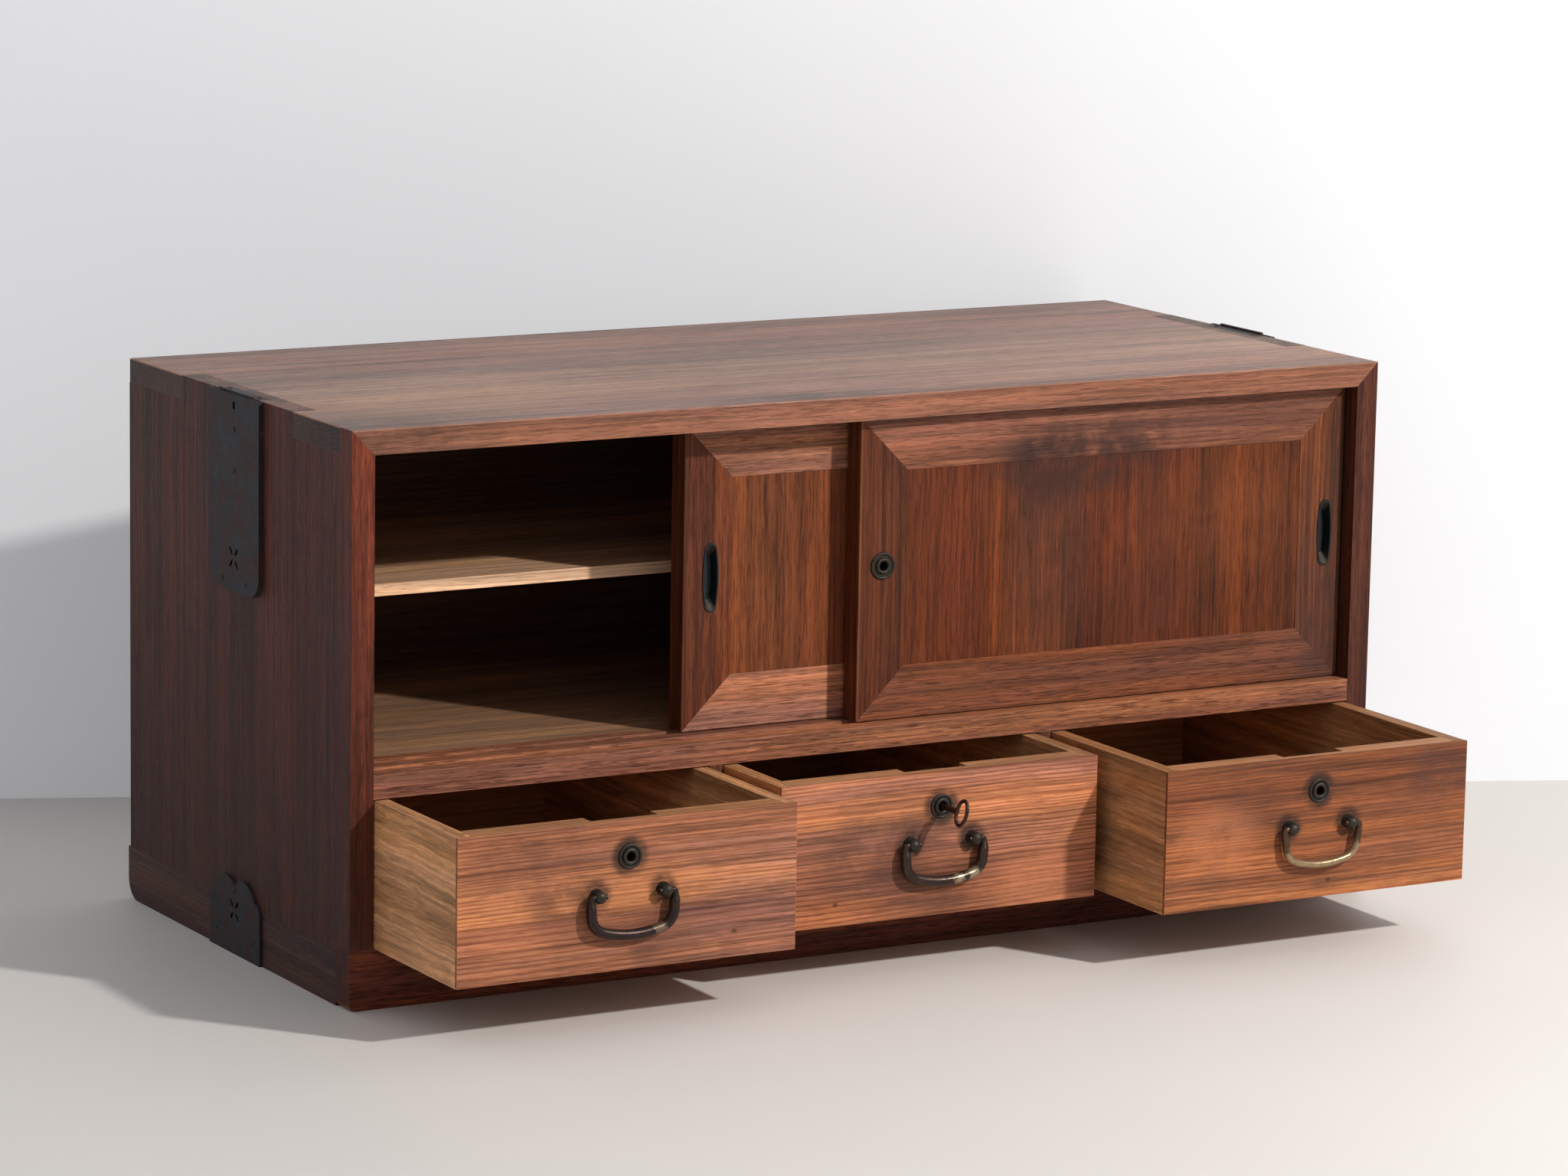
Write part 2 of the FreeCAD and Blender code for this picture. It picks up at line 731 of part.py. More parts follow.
def build_drawer(name, centre_x, out, bail_sizes, bolt_rise):
    """All pieces of one drawer, pulled out by out from the front of the case."""
    face_y = front_y - out
    core_y = face_y + facing
    inner_y = face_y + drawer_front
    end_y = face_y + drawer_depth
    left_x, right_x = centre_x - drawer_width / 2, centre_x + drawer_width / 2
    low_z, front_low_z = base_rail_height, base_rail_height + drawer_sill_gap
    lock_top_z = drawer_top_z - lock_case_drop

    bottom = block(left_x + drawer_side - drawer_joint, right_x - drawer_side + drawer_joint,
                   inner_y - drawer_joint, end_y - drawer_back + drawer_joint,
                   low_z + drawer_bottom_lift, low_z + drawer_bottom_lift + drawer_bottom)
    posts = [bail_post(centre_x + end * post_half_spacing, face_y, inner_y) for end in (-1, 1)]
    ring = escutcheon(centre_x, face_y, lock_z, escutcheon_radius,
                      drawer_front - lock_case_thickness)
    ring_core = rod(keyhole_radius, V(centre_x, face_y, lock_z),
                    V(centre_x, inner_y - lock_case_thickness, lock_z))
    front_cuts = posts + [ring, ring_core]

    core_body = block(left_x + drawer_side, right_x - drawer_side, core_y, inner_y,
                      front_low_z, drawer_top_z)
    tongue_y = (core_y + inner_y - core_tongue) / 2
    core_ends = block(left_x + drawer_side - drawer_joint, right_x - drawer_side + drawer_joint,
                      tongue_y, tongue_y + core_tongue, front_low_z, drawer_top_z)
    notch = block(centre_x - lock_case_width / 2 - lock_notch_side,
                  centre_x + lock_case_width / 2 + lock_notch_side,
                  inner_y - lock_case_thickness, inner_y, lock_top_z, drawer_top_z)
    case = lock_case(centre_x, inner_y, lock_top_z)
    pocket = block(centre_x - lock_case_width / 2, centre_x + lock_case_width / 2,
                   inner_y - lock_case_thickness, inner_y,
                   lock_top_z - lock_case_height, lock_top_z)
    core = joined([core_body, core_ends]).cut(front_cuts + [notch, pocket, bottom])
    back = block(left_x + drawer_side - drawer_joint, right_x - drawer_side + drawer_joint,
                 end_y - drawer_back, end_y, low_z, drawer_top_z)
    left_side = block(left_x, left_x + drawer_side, core_y, end_y, low_z, drawer_top_z)
    right_side = left_side.mirror(V(centre_x, 0, 0), AXIS_X)
    side_cuts = [core_ends, back, bottom]

    save(name + "_facing", block(left_x, right_x, face_y, core_y, front_low_z,
                                 drawer_top_z).cut(front_cuts))
    save(name + "_front", core)
    save(name + "_sides", left_side.cut(side_cuts), right_side.cut(side_cuts))
    save(name + "_back", back.cut(bottom))
    save(name + "_bottom", bottom)
    save(name + "_lock_case", case)
    save(name + "_lock_bolt", lock_bolt(centre_x, inner_y, lock_top_z, bolt_rise))
    save(name + "_escutcheon", ring)
    save(name + "_bail_posts", *posts)
    save(name + "_bail", bail(centre_x, face_y, *bail_sizes))


def key(centre_x, face_y):
    """Key with an oval bow, blade in the lock, pilot in the back plate, part turned."""
    inner_y = face_y + drawer_front
    case_y = inner_y - lock_case_thickness
    plate_y = inner_y - key_pilot_length
    tip_y = plate_y - key_pilot_clearance
    bow_y = face_y - key_reach - bow_half_reach
    shank = rod(key_radius, V(centre_x, face_y - key_reach, lock_z),
                V(centre_x, tip_y, lock_z))
    pilot = rod(key_pilot_radius, V(centre_x, tip_y, lock_z), V(centre_x, inner_y, lock_z))
    blade = block(centre_x - key_blade_thickness / 2, centre_x + key_blade_thickness / 2,
                  case_y + bolt_clearance, tip_y,
                  lock_z - key_blade_width / 2, lock_z + key_blade_width / 2)
    middle = V(centre_x, bow_y, lock_z)
    top = middle + AXIS_Z * bow_half_height
    oval = Part.Ellipse(top, middle + AXIS_Y * bow_half_reach, middle)
    ring = Part.Wire(Part.makeCircle(bow_wire_radius, top, AXIS_Y))
    bow = Part.Wire(oval.toShape()).makePipeShell([ring], True, True)
    whole = joined([shank, pilot, blade, bow])
    whole.rotate(V(centre_x, face_y, lock_z), AXIS_Y, key_turn)
    return whole


def door_lock(centre_x, face_y):
    """Closed lock box let into the back of the front door's stile."""
    behind_y = face_y + door_thickness
    return block(centre_x - door_lock_width / 2, centre_x + door_lock_width / 2,
                 behind_y - lock_case_thickness, behind_y,
                 door_lock_z - door_lock_height / 2, door_lock_z + door_lock_height / 2)


# Everything put together

def build_case():
    """Boards of the case with the irons on both sides."""
    centres = drawer_centres()
    sill = sill_rail()
    floor = housed_board(sill_back_y, sill_top_z - floor_board, sill_top_z)
    shelf_top = sill_top_z + shelf_height_share * (head_z - sill_top_z)
    shelf = housed_board(front_y + shelf_setback, shelf_top - shelf_board, shelf_top)
    backs = back_boards()
    plank = bottom_plank()
    backing_left = backing_plate()
    backing_right = mirrored(backing_left)
    nails_left = side_nails()
    nails_right = [mirrored(piece) for piece in nails_left]
    foot_left = foot_iron()

    side_left = side_board([sill, floor, shelf, backing_left] + backs + nails_left
                           + [block(-side_x, side_x, front_y, front_y + base_rail_depth,
                                    0, base_rail_height)])
    side_right = mirrored(side_left)
    top = top_board([side_left, side_right],
                    [backing_left, backing_right] + backs + nails_left + nails_right)
    cover_left = carry_cover().cut(nails_left)
    foot_cut = [block(-side_x, -side_x + foot_plate_return, foot_y - foot_plate_width / 2,
                      foot_y + foot_plate_width / 2, 0, foot_plate)]
    runner_left = runner().cut([plank] + foot_cut + nails_left)
    grooves = [door_groove(setback, sill_top_z - sill_groove, sill_top_z)
               for setback in (front_door_setback, rear_door_setback)]
    mortises = [bolt_mortise(centre_x) for centre_x in centres]

    save("top_board", top)
    save("left_side_board", side_left)
    save("right_side_board", side_right)
    save("back_boards", *backs)
    save("sill_rail", sill.cut(grooves + mortises))
    save("sill_facing", block(-inner_x, inner_x, front_y, front_y + facing,
                              sill_bottom_z, sill_top_z))
    save("cupboard_floor", floor)
    save("shelf_board", shelf)
    save("drawer_dividers", *[divider_board((left + right) / 2)
                              for left, right in zip(centres, centres[1:])])
    save("base_rail", base_rail())
    save("bottom_board", plank)
    save("runners", runner_left, mirrored(runner_left))
    save("drawer_slips", *drawer_slips())
    save("carry_covers", cover_left, mirrored(cover_left))
    save("left_carry_loop", carry_loop())
    save("right_carry_loop", mirrored(carry_loop()))
    save("backing_plates", backing_left.cut(nails_left), backing_right.cut(nails_right))
    save("foot_plates", foot_left.cut(nails_left), mirrored(foot_left.cut(nails_left)))
    save("plate_nails", *(nails_left + nails_right))


def build_doors():
    """Rear door slid to the middle and front door at its closed place."""
    left, right = build_door("left_door", left_door_x, rear_door_setback,
                             left_door_x + left_pull_from_edge)
    save("left_door_stiles", left, right)

    face_y = front_y + front_door_setback
    lock_x = right_door_x + frame_width / 2
    left, right = build_door("right_door", right_door_x, front_door_setback,
                             right_door_x + door_width - right_pull_from_edge)
    box = door_lock(lock_x, face_y)
    ring = escutcheon(lock_x, face_y, door_lock_z, door_escutcheon_radius,
                      door_thickness - lock_case_thickness)
    ring_core = rod(keyhole_radius, V(lock_x, face_y, door_lock_z),
                    V(lock_x, face_y + door_thickness - lock_case_thickness, door_lock_z))
    save("right_door_stiles", left.cut([box, ring, ring_core]), right)
    save("right_door_lock_case", box)
    save("right_door_escutcheon", ring)


def build_drawers():
    """Three drawers of one form, and the key in the middle one."""
    left_x, middle_x, right_x = drawer_centres()
    key_share = key_turn / key_full_turn
    build_drawer("left_drawer", left_x, left_drawer_out,
                 (left_bail_wire, bail_half_width), 0)
    build_drawer("middle_drawer", middle_x, middle_drawer_out,
                 (middle_bail_wire, bail_half_width), bolt_travel * key_share)
    build_drawer("right_drawer", right_x, right_drawer_out,
                 (right_bail_wire, right_bail_half_width), 0)
    save("key", key(middle_x, front_y - middle_drawer_out))


os.makedirs("parts", exist_ok=True)
build_case()
build_doors()
build_drawers()
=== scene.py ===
# %% [markdown]
# # A low cabinet with sliding doors over three drawers
# The solids of this cabinet were drawn before this lesson starts. Here they get
# their looks: softly worn boards with real grain, aged irons, and the light of a plain studio.
# The first lines load the solids as a frame that never moves. Every piece that we make
# takes its place from that frame, so nothing has to be fitted by eye.

# %% Open the frame
import json
import math

import bpy
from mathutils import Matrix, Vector


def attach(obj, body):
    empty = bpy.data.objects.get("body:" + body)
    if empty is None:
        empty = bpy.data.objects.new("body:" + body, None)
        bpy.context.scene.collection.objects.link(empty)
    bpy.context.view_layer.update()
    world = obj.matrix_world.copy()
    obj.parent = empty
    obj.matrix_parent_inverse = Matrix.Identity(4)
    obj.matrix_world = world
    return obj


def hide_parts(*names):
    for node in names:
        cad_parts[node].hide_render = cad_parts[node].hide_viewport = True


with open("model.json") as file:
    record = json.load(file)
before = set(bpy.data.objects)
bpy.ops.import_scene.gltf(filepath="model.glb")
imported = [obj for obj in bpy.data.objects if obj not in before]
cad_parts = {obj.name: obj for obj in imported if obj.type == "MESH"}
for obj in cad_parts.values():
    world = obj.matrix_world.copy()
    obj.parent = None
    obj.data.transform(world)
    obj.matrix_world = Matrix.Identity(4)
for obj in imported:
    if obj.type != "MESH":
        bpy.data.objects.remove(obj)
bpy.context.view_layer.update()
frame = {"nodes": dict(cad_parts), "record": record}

MM = 0.001

# %% [markdown]
# The picture was taken with a long lens from a little over one metre high, which keeps the
# edges of the case almost parallel. It is 2048 pixels wide and 1536 high, and the lens was
# worked out in those pixels. A camera is placed once and then left alone, so that each test
# render can be laid over the photograph.

# %% Set up the camera
IMAGE_WIDTH = 2048
FOCAL_PIXELS = 7614.5
SENSOR_WIDTH = 36.0
CAMERA_PLACE = (-2.3636, -4.1572, 1.1393)
CAMERA_TURN = [math.radians(angle) for angle in (79.606, -1.0103, -29.7068)]
bpy.ops.object.camera_add(location=CAMERA_PLACE, rotation=CAMERA_TURN)
camera = bpy.context.object
camera.name = "view_camera"
camera.data.sensor_width = SENSOR_WIDTH
camera.data.lens = FOCAL_PIXELS / IMAGE_WIDTH * SENSOR_WIDTH
camera.data.clip_end = 60.0
bpy.context.scene.camera = camera
bpy.context.scene.view_settings.view_transform = "Standard"
print("lens of", round(camera.data.lens, 1), "mm")

# %% [markdown]
# One lamp stood about three metres off, to the right of the viewer and higher than the chest.
# The shadows in the picture spread a little as they leave the drawers, which a distant sun
# would not do, so a small round area lamp is put where the shadow lines meet. A pale world
# fills the shade. Both are at a plain level, at which a colour renders about as it is written.

# %% Light the room
LAMP_PLACE = Vector((1.312, -2.56, 1.988))
LAMP_AIM = Vector((-1.0, 0.2, 0.0))
LAMP_SIZE, LAMP_WATTS = 0.16, 86.0
LAMP_TINT = (1.0, 0.965, 0.93)
ROOM_TINT, ROOM_LEVEL = (0.93, 0.96, 1.0, 1), 0.45
bpy.ops.object.light_add(type="AREA", location=LAMP_PLACE,
                         rotation=(LAMP_AIM - LAMP_PLACE).to_track_quat("-Z", "Y").to_euler())
key_lamp = bpy.context.object
key_lamp.name = "key_lamp"
key_lamp.data.shape = "DISK"
key_lamp.data.size = LAMP_SIZE
key_lamp.data.energy = LAMP_WATTS
key_lamp.data.color = LAMP_TINT

world = bpy.data.worlds.new("pale_room")
bpy.context.scene.world = world
world.use_nodes = True
backdrop = world.node_tree.nodes["Background"]
backdrop.inputs["Color"].default_value = ROOM_TINT
backdrop.inputs["Strength"].default_value = ROOM_LEVEL
print("key lamp", LAMP_WATTS, "W and world", ROOM_LEVEL)

# %% [markdown]
# A finish is a small tree of nodes. Written as node calls, its sums are hard to read, so one
# small class wraps a socket and lets us write them as plain expressions. One method of the
# finish makes every other node: it takes the type, the settings, and the values or links.

# %% Write shader sums as expressions
def tint(red, green, blue):
    """A colour in levels from 0 to 255, as the linear values that a shader takes."""
    def linear(level):
        level = level / 255
        return level / 12.92 if level < 0.04045 else ((level + 0.055) / 1.055) ** 2.4
    return (linear(red), linear(green), linear(blue), 1.0)


class Wire:
    """A socket of a finish that can be added, multiplied and so on."""

    def __init__(self, finish, socket):
        self.finish = finish
        self.socket = socket

    def sum(self, operation, first, second=0.0):
        return self.finish.node("ShaderNodeMath", {"operation": operation},
                                {0: first, 1: second})

    def __add__(self, other):
        return self.sum("ADD", self, other)

    def __sub__(self, other):
        return self.sum("SUBTRACT", self, other)

    def __rsub__(self, other):
        return self.sum("SUBTRACT", other, self)

    def __mul__(self, other):
        return self.sum("MULTIPLY", self, other)

    def __truediv__(self, other):
        return self.sum("DIVIDE", self, other)

    def __pow__(self, other):
        return self.sum("POWER", self, other)

    __radd__ = __add__
    __rmul__ = __mul__


class Finish:
    """A material under construction."""

    def __init__(self, name):
        self.material = bpy.data.materials.new(name)
        self.material.use_nodes = True
        self.tree = self.material.node_tree
        self.shader = self.tree.nodes["Principled BSDF"]
        self.place = self.node("ShaderNodeTexCoord", {}, {}, "Object")

    def node(self, kind, settings, inputs, output=0):
        """Makes one node, sets it up, joins its sockets and gives back one output. The stops
        of a ramp aren't a plain setting, so they have a way of their own."""
        made = self.tree.nodes.new(kind)
        for key, value in settings.items():
            if key == "stops":
                ramp = made.color_ramp
                while len(ramp.elements) < len(value):
                    ramp.elements.new(1.0)
                for element, (position, colour) in zip(ramp.elements, value):
                    element.position = position
                    element.color = colour if isinstance(colour, tuple) else (colour,) * 3 + (1,)
            else:
                setattr(made, key, value)
        for key, value in inputs.items():
            self.join(made.inputs[key], value)
        return Wire(self, made.outputs[output])

    def join(self, socket, value):
        if isinstance(value, Wire):
            self.tree.links.new(value.socket, socket)
        else:
            socket.default_value = value

    def parts(self):
        """The three coordinates of a point of the piece, in metres."""
        return [self.node("ShaderNodeSeparateXYZ", {}, {0: self.place}, axis)
                for axis in range(3)]

    def point(self, x, y, z):
        return self.node("ShaderNodeCombineXYZ", {}, {0: x, 1: y, 2: z})

    def noise(self, point, scale, detail, rough, output="Fac"):
        return self.node("ShaderNodeTexNoise", {}, {"Vector": point, "Scale": scale,
                         "Detail": detail, "Roughness": rough}, output)

    def ramp(self, value, stops):
        return self.node("ShaderNodeValToRGB", {"stops": stops}, {0: value})

    def between(self, value, low, high):
        """0 below low, 1 above high, and a soft step in between."""
        return self.node("ShaderNodeMapRange", {"interpolation_type": "SMOOTHSTEP"},
                         {"Value": value, "From Min": low, "From Max": high})

    def mix(self, share, first, second, blend="MIX"):
        """Two colours blended; inputs 6 and 7 and output 2 are the colour ones of the node."""
        return self.node("ShaderNodeMix", {"data_type": "RGBA", "blend_type": blend},
                         {0: share, 6: first, 7: second}, 2)

    def near(self, centre, radius, blur, stretch):
        """1 within radius of a point, fading out over blur."""
        offset = self.node("ShaderNodeVectorMath", {"operation": "SUBTRACT"},
                           {0: self.place, 1: centre})
        scaled = self.node("ShaderNodeVectorMath", {"operation": "MULTIPLY"},
                           {0: offset, 1: stretch})
        distance = self.node("ShaderNodeVectorMath", {"operation": "LENGTH"},
                             {0: scaled}, "Value")
        return 1 - self.between(distance, radius, radius + blur)

    def corners(self, low, high):
        """1 where the surface is a rounded edge and 0 on the flats of a board."""
        normal = self.node("ShaderNodeTexCoord", {}, {}, "Normal")
        turned = [self.node("ShaderNodeMath", {"operation": "ABSOLUTE"},
                            {0: self.node("ShaderNodeSeparateXYZ", {}, {0: normal}, axis)})
                  for axis in range(3)]
        largest = turned[0].sum("MAXIMUM", turned[0], turned[1])
        largest = largest.sum("MAXIMUM", largest, turned[2])
        return self.between(1 - largest, low, high)

    def looking(self, axis, sign=None):
        """1 on the faces that look along an axis: forward with sign -1, both ways without."""
        normal = self.node("ShaderNodeTexCoord", {}, {}, "Normal")
        part = self.node("ShaderNodeSeparateXYZ", {}, {0: normal}, "XYZ".index(axis))
        part = part * sign if sign else part.sum("ABSOLUTE", part)
        return self.between(part, 0.9, 0.98)

    def finish(self, colour, roughness, height=None, depth=0.0, metallic=0.0):
        self.join(self.shader.inputs["Base Color"], colour)
        self.join(self.shader.inputs["Roughness"], roughness)
        self.join(self.shader.inputs["Metallic"], metallic)
        if height is not None:
            bump = self.node("ShaderNodeBump", {}, {"Height": height, "Distance": depth,
                             "Strength": 1.0}, "Normal")
            self.join(self.shader.inputs["Normal"], bump)
        return self.material


print("shader sums ready")

# %% [markdown]
# The wood is the greater part of what one sees. A solid pattern is used, because a board's
# edges and ends then show the same rings as its face. The rings are distances from the heart
# of a log that lies along the grain, bent by a slow noise and rippled by a quicker one. Each
# ring is pale where the tree grew fast in spring and turns dark towards its end.

# %% Grow the rings of a log
SWAY_ALONG, SWAY_ACROSS = 2.2, 9
SWAY_DEPTH = 4
RIPPLE_ALONG, RIPPLE_ACROSS = 20, 9
UNEVEN_SCALE, UNEVEN_RINGS = 60, 3.0
RING_STOPS = [(0.0, 0.4), (0.1, 0.0), (0.55, 0.05), (0.8, 1.0), (1.0, 0.4)]


def log_rings(made, grain, heart, rings, bend, tilt):
    """Gives the place in the log, its slow sway, and how dark the ring is there."""
    x, y, z = made.parts()
    along, first, second = {"X": (x, y, z), "Y": (y, x, z), "Z": (z, x, y)}[grain]
    slow = made.noise(made.point(along * SWAY_ALONG, first * SWAY_ACROSS, second * SWAY_ACROSS),
                      1.0, 2.0, 0.5, "Color")
    sway, sway_b = [made.node("ShaderNodeSeparateColor", {}, {0: slow}, i) for i in (0, 1)]
    first = first + (sway - 0.5) * (bend * SWAY_DEPTH * MM) + along * tilt
    second = second + (sway_b - 0.5) * (bend * SWAY_DEPTH * MM)
    ripple = made.noise(made.point(along * RIPPLE_ALONG, first * RIPPLE_ACROSS,
                                   second * RIPPLE_ACROSS), 1.0, 2.0, 0.5) - 0.5
    first, second = first + ripple * (bend * MM), second + ripple * (bend * MM)
    off_first = first - heart[0] * MM
    off_second = second - heart[1] * MM
    radius = (off_first * off_first + off_second * off_second) ** 0.5
    uneven = made.node("ShaderNodeTexNoise", {"noise_dimensions": "1D"},
                       {"W": radius * UNEVEN_SCALE, "Scale": 1.0, "Detail": 1.0})
    count = radius / (rings * MM) + uneven * UNEVEN_RINGS
    phase = made.node("ShaderNodeMath", {"operation": "FRACT"}, {0: count})
    return (along, first, second), sway, made.ramp(phase, RING_STOPS)


print("rings ready")

# %% [markdown]
# Between the rings lie lines of every width, from the broad streaks of a whole board to the
# fibres. All are one noise, drawn out along the grain to its own length and width in metres.
# The shortest ones are the dark pores and the light flecks of an open wood that was brushed.
# Stains come from hands, water and smoke, so their edges are blotchy. Painted shade is laid
# with the same blotchy marks.

# %% Draw lines, stains and painted shade
def fibres(made, spot, length, width, detail, low, high):
    """Noise drawn out along the grain, from -0.5 to 0.5."""
    along, first, second = spot
    at = made.point(along * (1 / length), first * (1 / width), second * (1 / width))
    return made.between(made.noise(at, 1.0, detail, 0.6), low, high) - 0.5


def times(made, colour, factors):
    """The colour with its red, green and blue multiplied."""
    return made.mix(1.0, colour, factors + (1,), "MULTIPLY")


def stained_and_shaded(made, colour, stains_and_shade):
    """Lays stains and painted shade over a colour: (centre, radius, blur, strength, stretch,
    colour) in mm.
    """
    blotches = made.noise(made.place, 38.0, 4.0, 0.65)
    for centre, radius, blur, strength, stretch, mark_colour in stains_and_shade:
        spot = made.near([c * MM for c in centre], radius * MM, blur * MM, stretch)
        spot = spot * (made.between(blotches, 0.25, 0.6) * 0.8 + 0.2)
        colour = made.mix(spot * strength, colour, tint(*mark_colour))
    return colour


print("lines and stains ready")

# %% [markdown]
# A wood finish starts from tones that change over the board's width, as boards do between
# their outer and their inner side. Each kind of line then darkens or lightens that tone by
# its own share. Light streaks lean to orange and dark ones to purple, as in old wood. Faces
# that look forward and the cut ends get factors of their own, which lighten or darken them;
# on the top and the sides' ends they carry painted sheen, on the shelf a painted highlight.

# %% Make a wood finish
WOOD_GLOSS = 0.2
# Each kind of line: length and width in metres, detail, and where its noise starts and ends.
BROAD, MEDIUM = (0.7, 0.030, 3.0, 0.3, 0.7), (0.3, 0.009, 2.0, 0.32, 0.68)
FINE = (0.14, 0.0026, 3.0, 0.3, 0.7)
PORES, FLECKS = (0.020, 0.0012, 1.0, 0.54, 0.66), (0.015, 0.0014, 1.0, 0.57, 0.68)
BROAD_SHARE, MEDIUM_SHARE, FINE_SHARE = 0.34, 0.42, 0.52
CLOUD_SHARE, DARKEST = 1.6, 0.2
TONE_SHIFT_STREAK, TONE_SHIFT_SWAY = 14 * MM, 30 * MM
WOOD_DEPTH = 0.3 * MM
RING_TINT, PORE_TINT, FLECK_TINT = (0.50, 0.38, 0.33), (0.40, 0.30, 0.28), (1.7, 1.6, 1.5)


def wood(name, grain, heart, tones, rings=4.0, ring_share=0.5, bend=3.0, tilt=0.0, lines=1.0,
         pore_share=0.5, flecks=0.15, streak=1.0, warmth=1.0, rough=0.55, front=None,
         ends=(0.8, 0.74, 0.7), edge=None, edge_share=0.5, stains_and_shade=(), cloud=0.3):
    """grain is the axis letter; heart the log's middle across the grain, in mm; tones are
    (place in mm along the board's width, colour) pairs; rings the ring width in mm; front
    and ends are factors for the faces that look forward and for the end grain."""
    made = Finish(name)
    made.shader.inputs["Specular IOR Level"].default_value = WOOD_GLOSS
    spot, sway, late = log_rings(made, grain, heart, rings, bend, tilt)
    along, first, second = spot
    broad, medium, fine, pores, light_flecks = [
        fibres(made, spot, *kind) for kind in (BROAD, MEDIUM, FINE, PORES, FLECKS)]
    pores, light_flecks = pores + 0.5, light_flecks + 0.5
    patches = made.noise(made.point(along * 5, first * 9, second * 9), 1.0, 4.0, 0.6)
    hues = made.noise(made.point(along * 2, first * 24, second * 24), 1.0, 3.0, 0.6)

    width_axis, places = tones
    across = (made.parts()["XYZ".index(width_axis)] + broad * TONE_SHIFT_STREAK
              + (sway - 0.5) * TONE_SHIFT_SWAY)
    low, high = places[0][0], places[-1][0]
    stops = [((place - low) / (high - low), tint(*tone)) for place, tone in places]
    colour = made.ramp((across - low * MM) / ((high - low) * MM), stops)

    shade = (1 + broad * (BROAD_SHARE * streak) + medium * (MEDIUM_SHARE * lines)
             + fine * (FINE_SHARE * lines) + (patches - 0.5) * (cloud * CLOUD_SHARE))
    shade = shade.sum("MAXIMUM", shade, DARKEST)
    shade_colour = made.node("ShaderNodeCombineColor", {}, {0: shade, 1: shade, 2: shade})
    colour = made.mix(1.0, colour, shade_colour, "MULTIPLY")
    purple = times(made, colour, (1 - 0.10 * warmth, 1 - 0.10 * warmth, 1 - 0.03 * warmth))
    orange = times(made, colour, (1 + 0.10 * warmth, 1 + 0.02 * warmth, 1 - 0.16 * warmth))
    colour = made.mix(made.between(hues + broad * 0.3, 0.36, 0.64), purple, orange)
    colour = made.mix(late * (made.between(patches, 0.3, 0.6) * 0.4 + 0.6) * ring_share,
                      colour, times(made, colour, RING_TINT))
    colour = made.mix(pores * (1 - late * 0.5) * pore_share, colour,
                      times(made, colour, PORE_TINT))
    colour = made.mix(light_flecks * flecks, colour, times(made, colour, FLECK_TINT))
    colour = stained_and_shaded(made, colour, stains_and_shade)
    for share, factors in ((made.looking(grain), ends), (made.looking("Y", -1), front)):
        if factors:
            colour = made.mix(share, colour, times(made, colour, factors))
    # Rounded edges take the edge colour: partly rubbed wear, partly a painted highlight of
    # arrises that catch the lamp.
    if edge:
        colour = made.mix(made.corners(0.01, 0.09) * (patches + 0.2) * edge_share, colour,
                          tint(*edge))
    roughness = rough + fine * 0.12 + late * 0.06
    height = fine * 0.4 - pores * 0.7 + late * 0.35 + medium * 0.3
    return made.finish(colour, roughness, height, WOOD_DEPTH)


print("wood finish ready")

# %% [markdown]
# The case is of one stained wood, grey-brown on top and reddish on its front edges. The top's
# grey is partly the wood's own and partly a painted sheen, as a top shows when seen at a low
# angle. A board's tone changes over its width, so its tones are a list of places in mm with a
# colour for each, and the finish blends between them. Stains and painted shade are given as
# centre, radius, blur, strength, stretch and colour.

# %% Tones and stains of the case
CASE_TONES = {
    "top": ("Y", [(-210, (142, 111, 99)), (-150, (152, 116, 102)), (-60, (156, 124, 107)),
                  (30, (142, 114, 102)), (120, (152, 116, 102)), (210, (133, 105, 93))]),
    "left_side": ("Y", [(-210, (87, 42, 32)), (-100, (88, 43, 32)), (0, (71, 34, 28)),
                        (110, (82, 43, 33)), (210, (76, 38, 33))]),
    "right_side": ("Y", [(-210, (78, 41, 30)), (-60, (86, 46, 34)), (80, (78, 43, 33)),
                         (210, (75, 41, 33))]),
    "rail": ("Z", [(0, (102, 51, 35)), (48, (110, 56, 39)), (166, (149, 95, 72)),
                   (185, (154, 102, 76))]),
    "divider": ("Y", [(-210, (96, 58, 44)), (200, (120, 84, 62))]),
    "runner": ("Z", [(0, (68, 46, 42)), (44, (76, 52, 47))])}
TOP_STAINS = [((-450, -185, 454), 20, 75, 0.6, (0.6, 1, 1), (72, 60, 58)),
              ((-330, -120, 454), 20, 90, 0.35, (0.4, 1, 1), (168, 132, 102)),
              ((-60, -192, 454), 3, 22, 0.6, (0.2, 1, 1), (70, 56, 54)),
              ((60, 60, 454), 20, 120, 0.3, (0.35, 1, 1), (96, 76, 72)),
              ((250, -60, 454), 20, 110, 0.3, (0.3, 1, 1), (176, 140, 120))]
# Painted shade: the left side is painted darker towards the floor, where shade falls on it.
SIDE_PAINTED_SHADE = [((-475, 0, -20), 60, 300, 0.55, (1, 0.1, 1), (50, 34, 30))]
print("tones for", len(CASE_TONES), "kinds of case board")

# %% [markdown]
# The top's boards run from side to side and the sides' boards stand upright, as on any such
# chest, because the finger joints at the corners need end grain to meet. Each finger's end
# takes the look of the face that it lies in: the top's ends are dark like the sides, and the
# sides' ends are painted light and grey like the top, with its painted sheen.

# %% Finishes of the case
# Painted sheen: the top's grey tones stand partly for its sheen at a low angle; the front factor
# takes that grey off its front face.
top_sheen_wood = wood("top_sheen_wood", "X", (-260, 60), CASE_TONES["top"], rings=3.4, ring_share=0.3,
                bend=2.0, rough=0.45, warmth=0.35, streak=0.7, lines=0.9, flecks=0.3,
                cloud=0.5, front=(0.95, 0.66, 0.5), ends=(0.22, 0.17, 0.17),
                edge=(190, 125, 88), edge_share=0.6, stains_and_shade=TOP_STAINS)
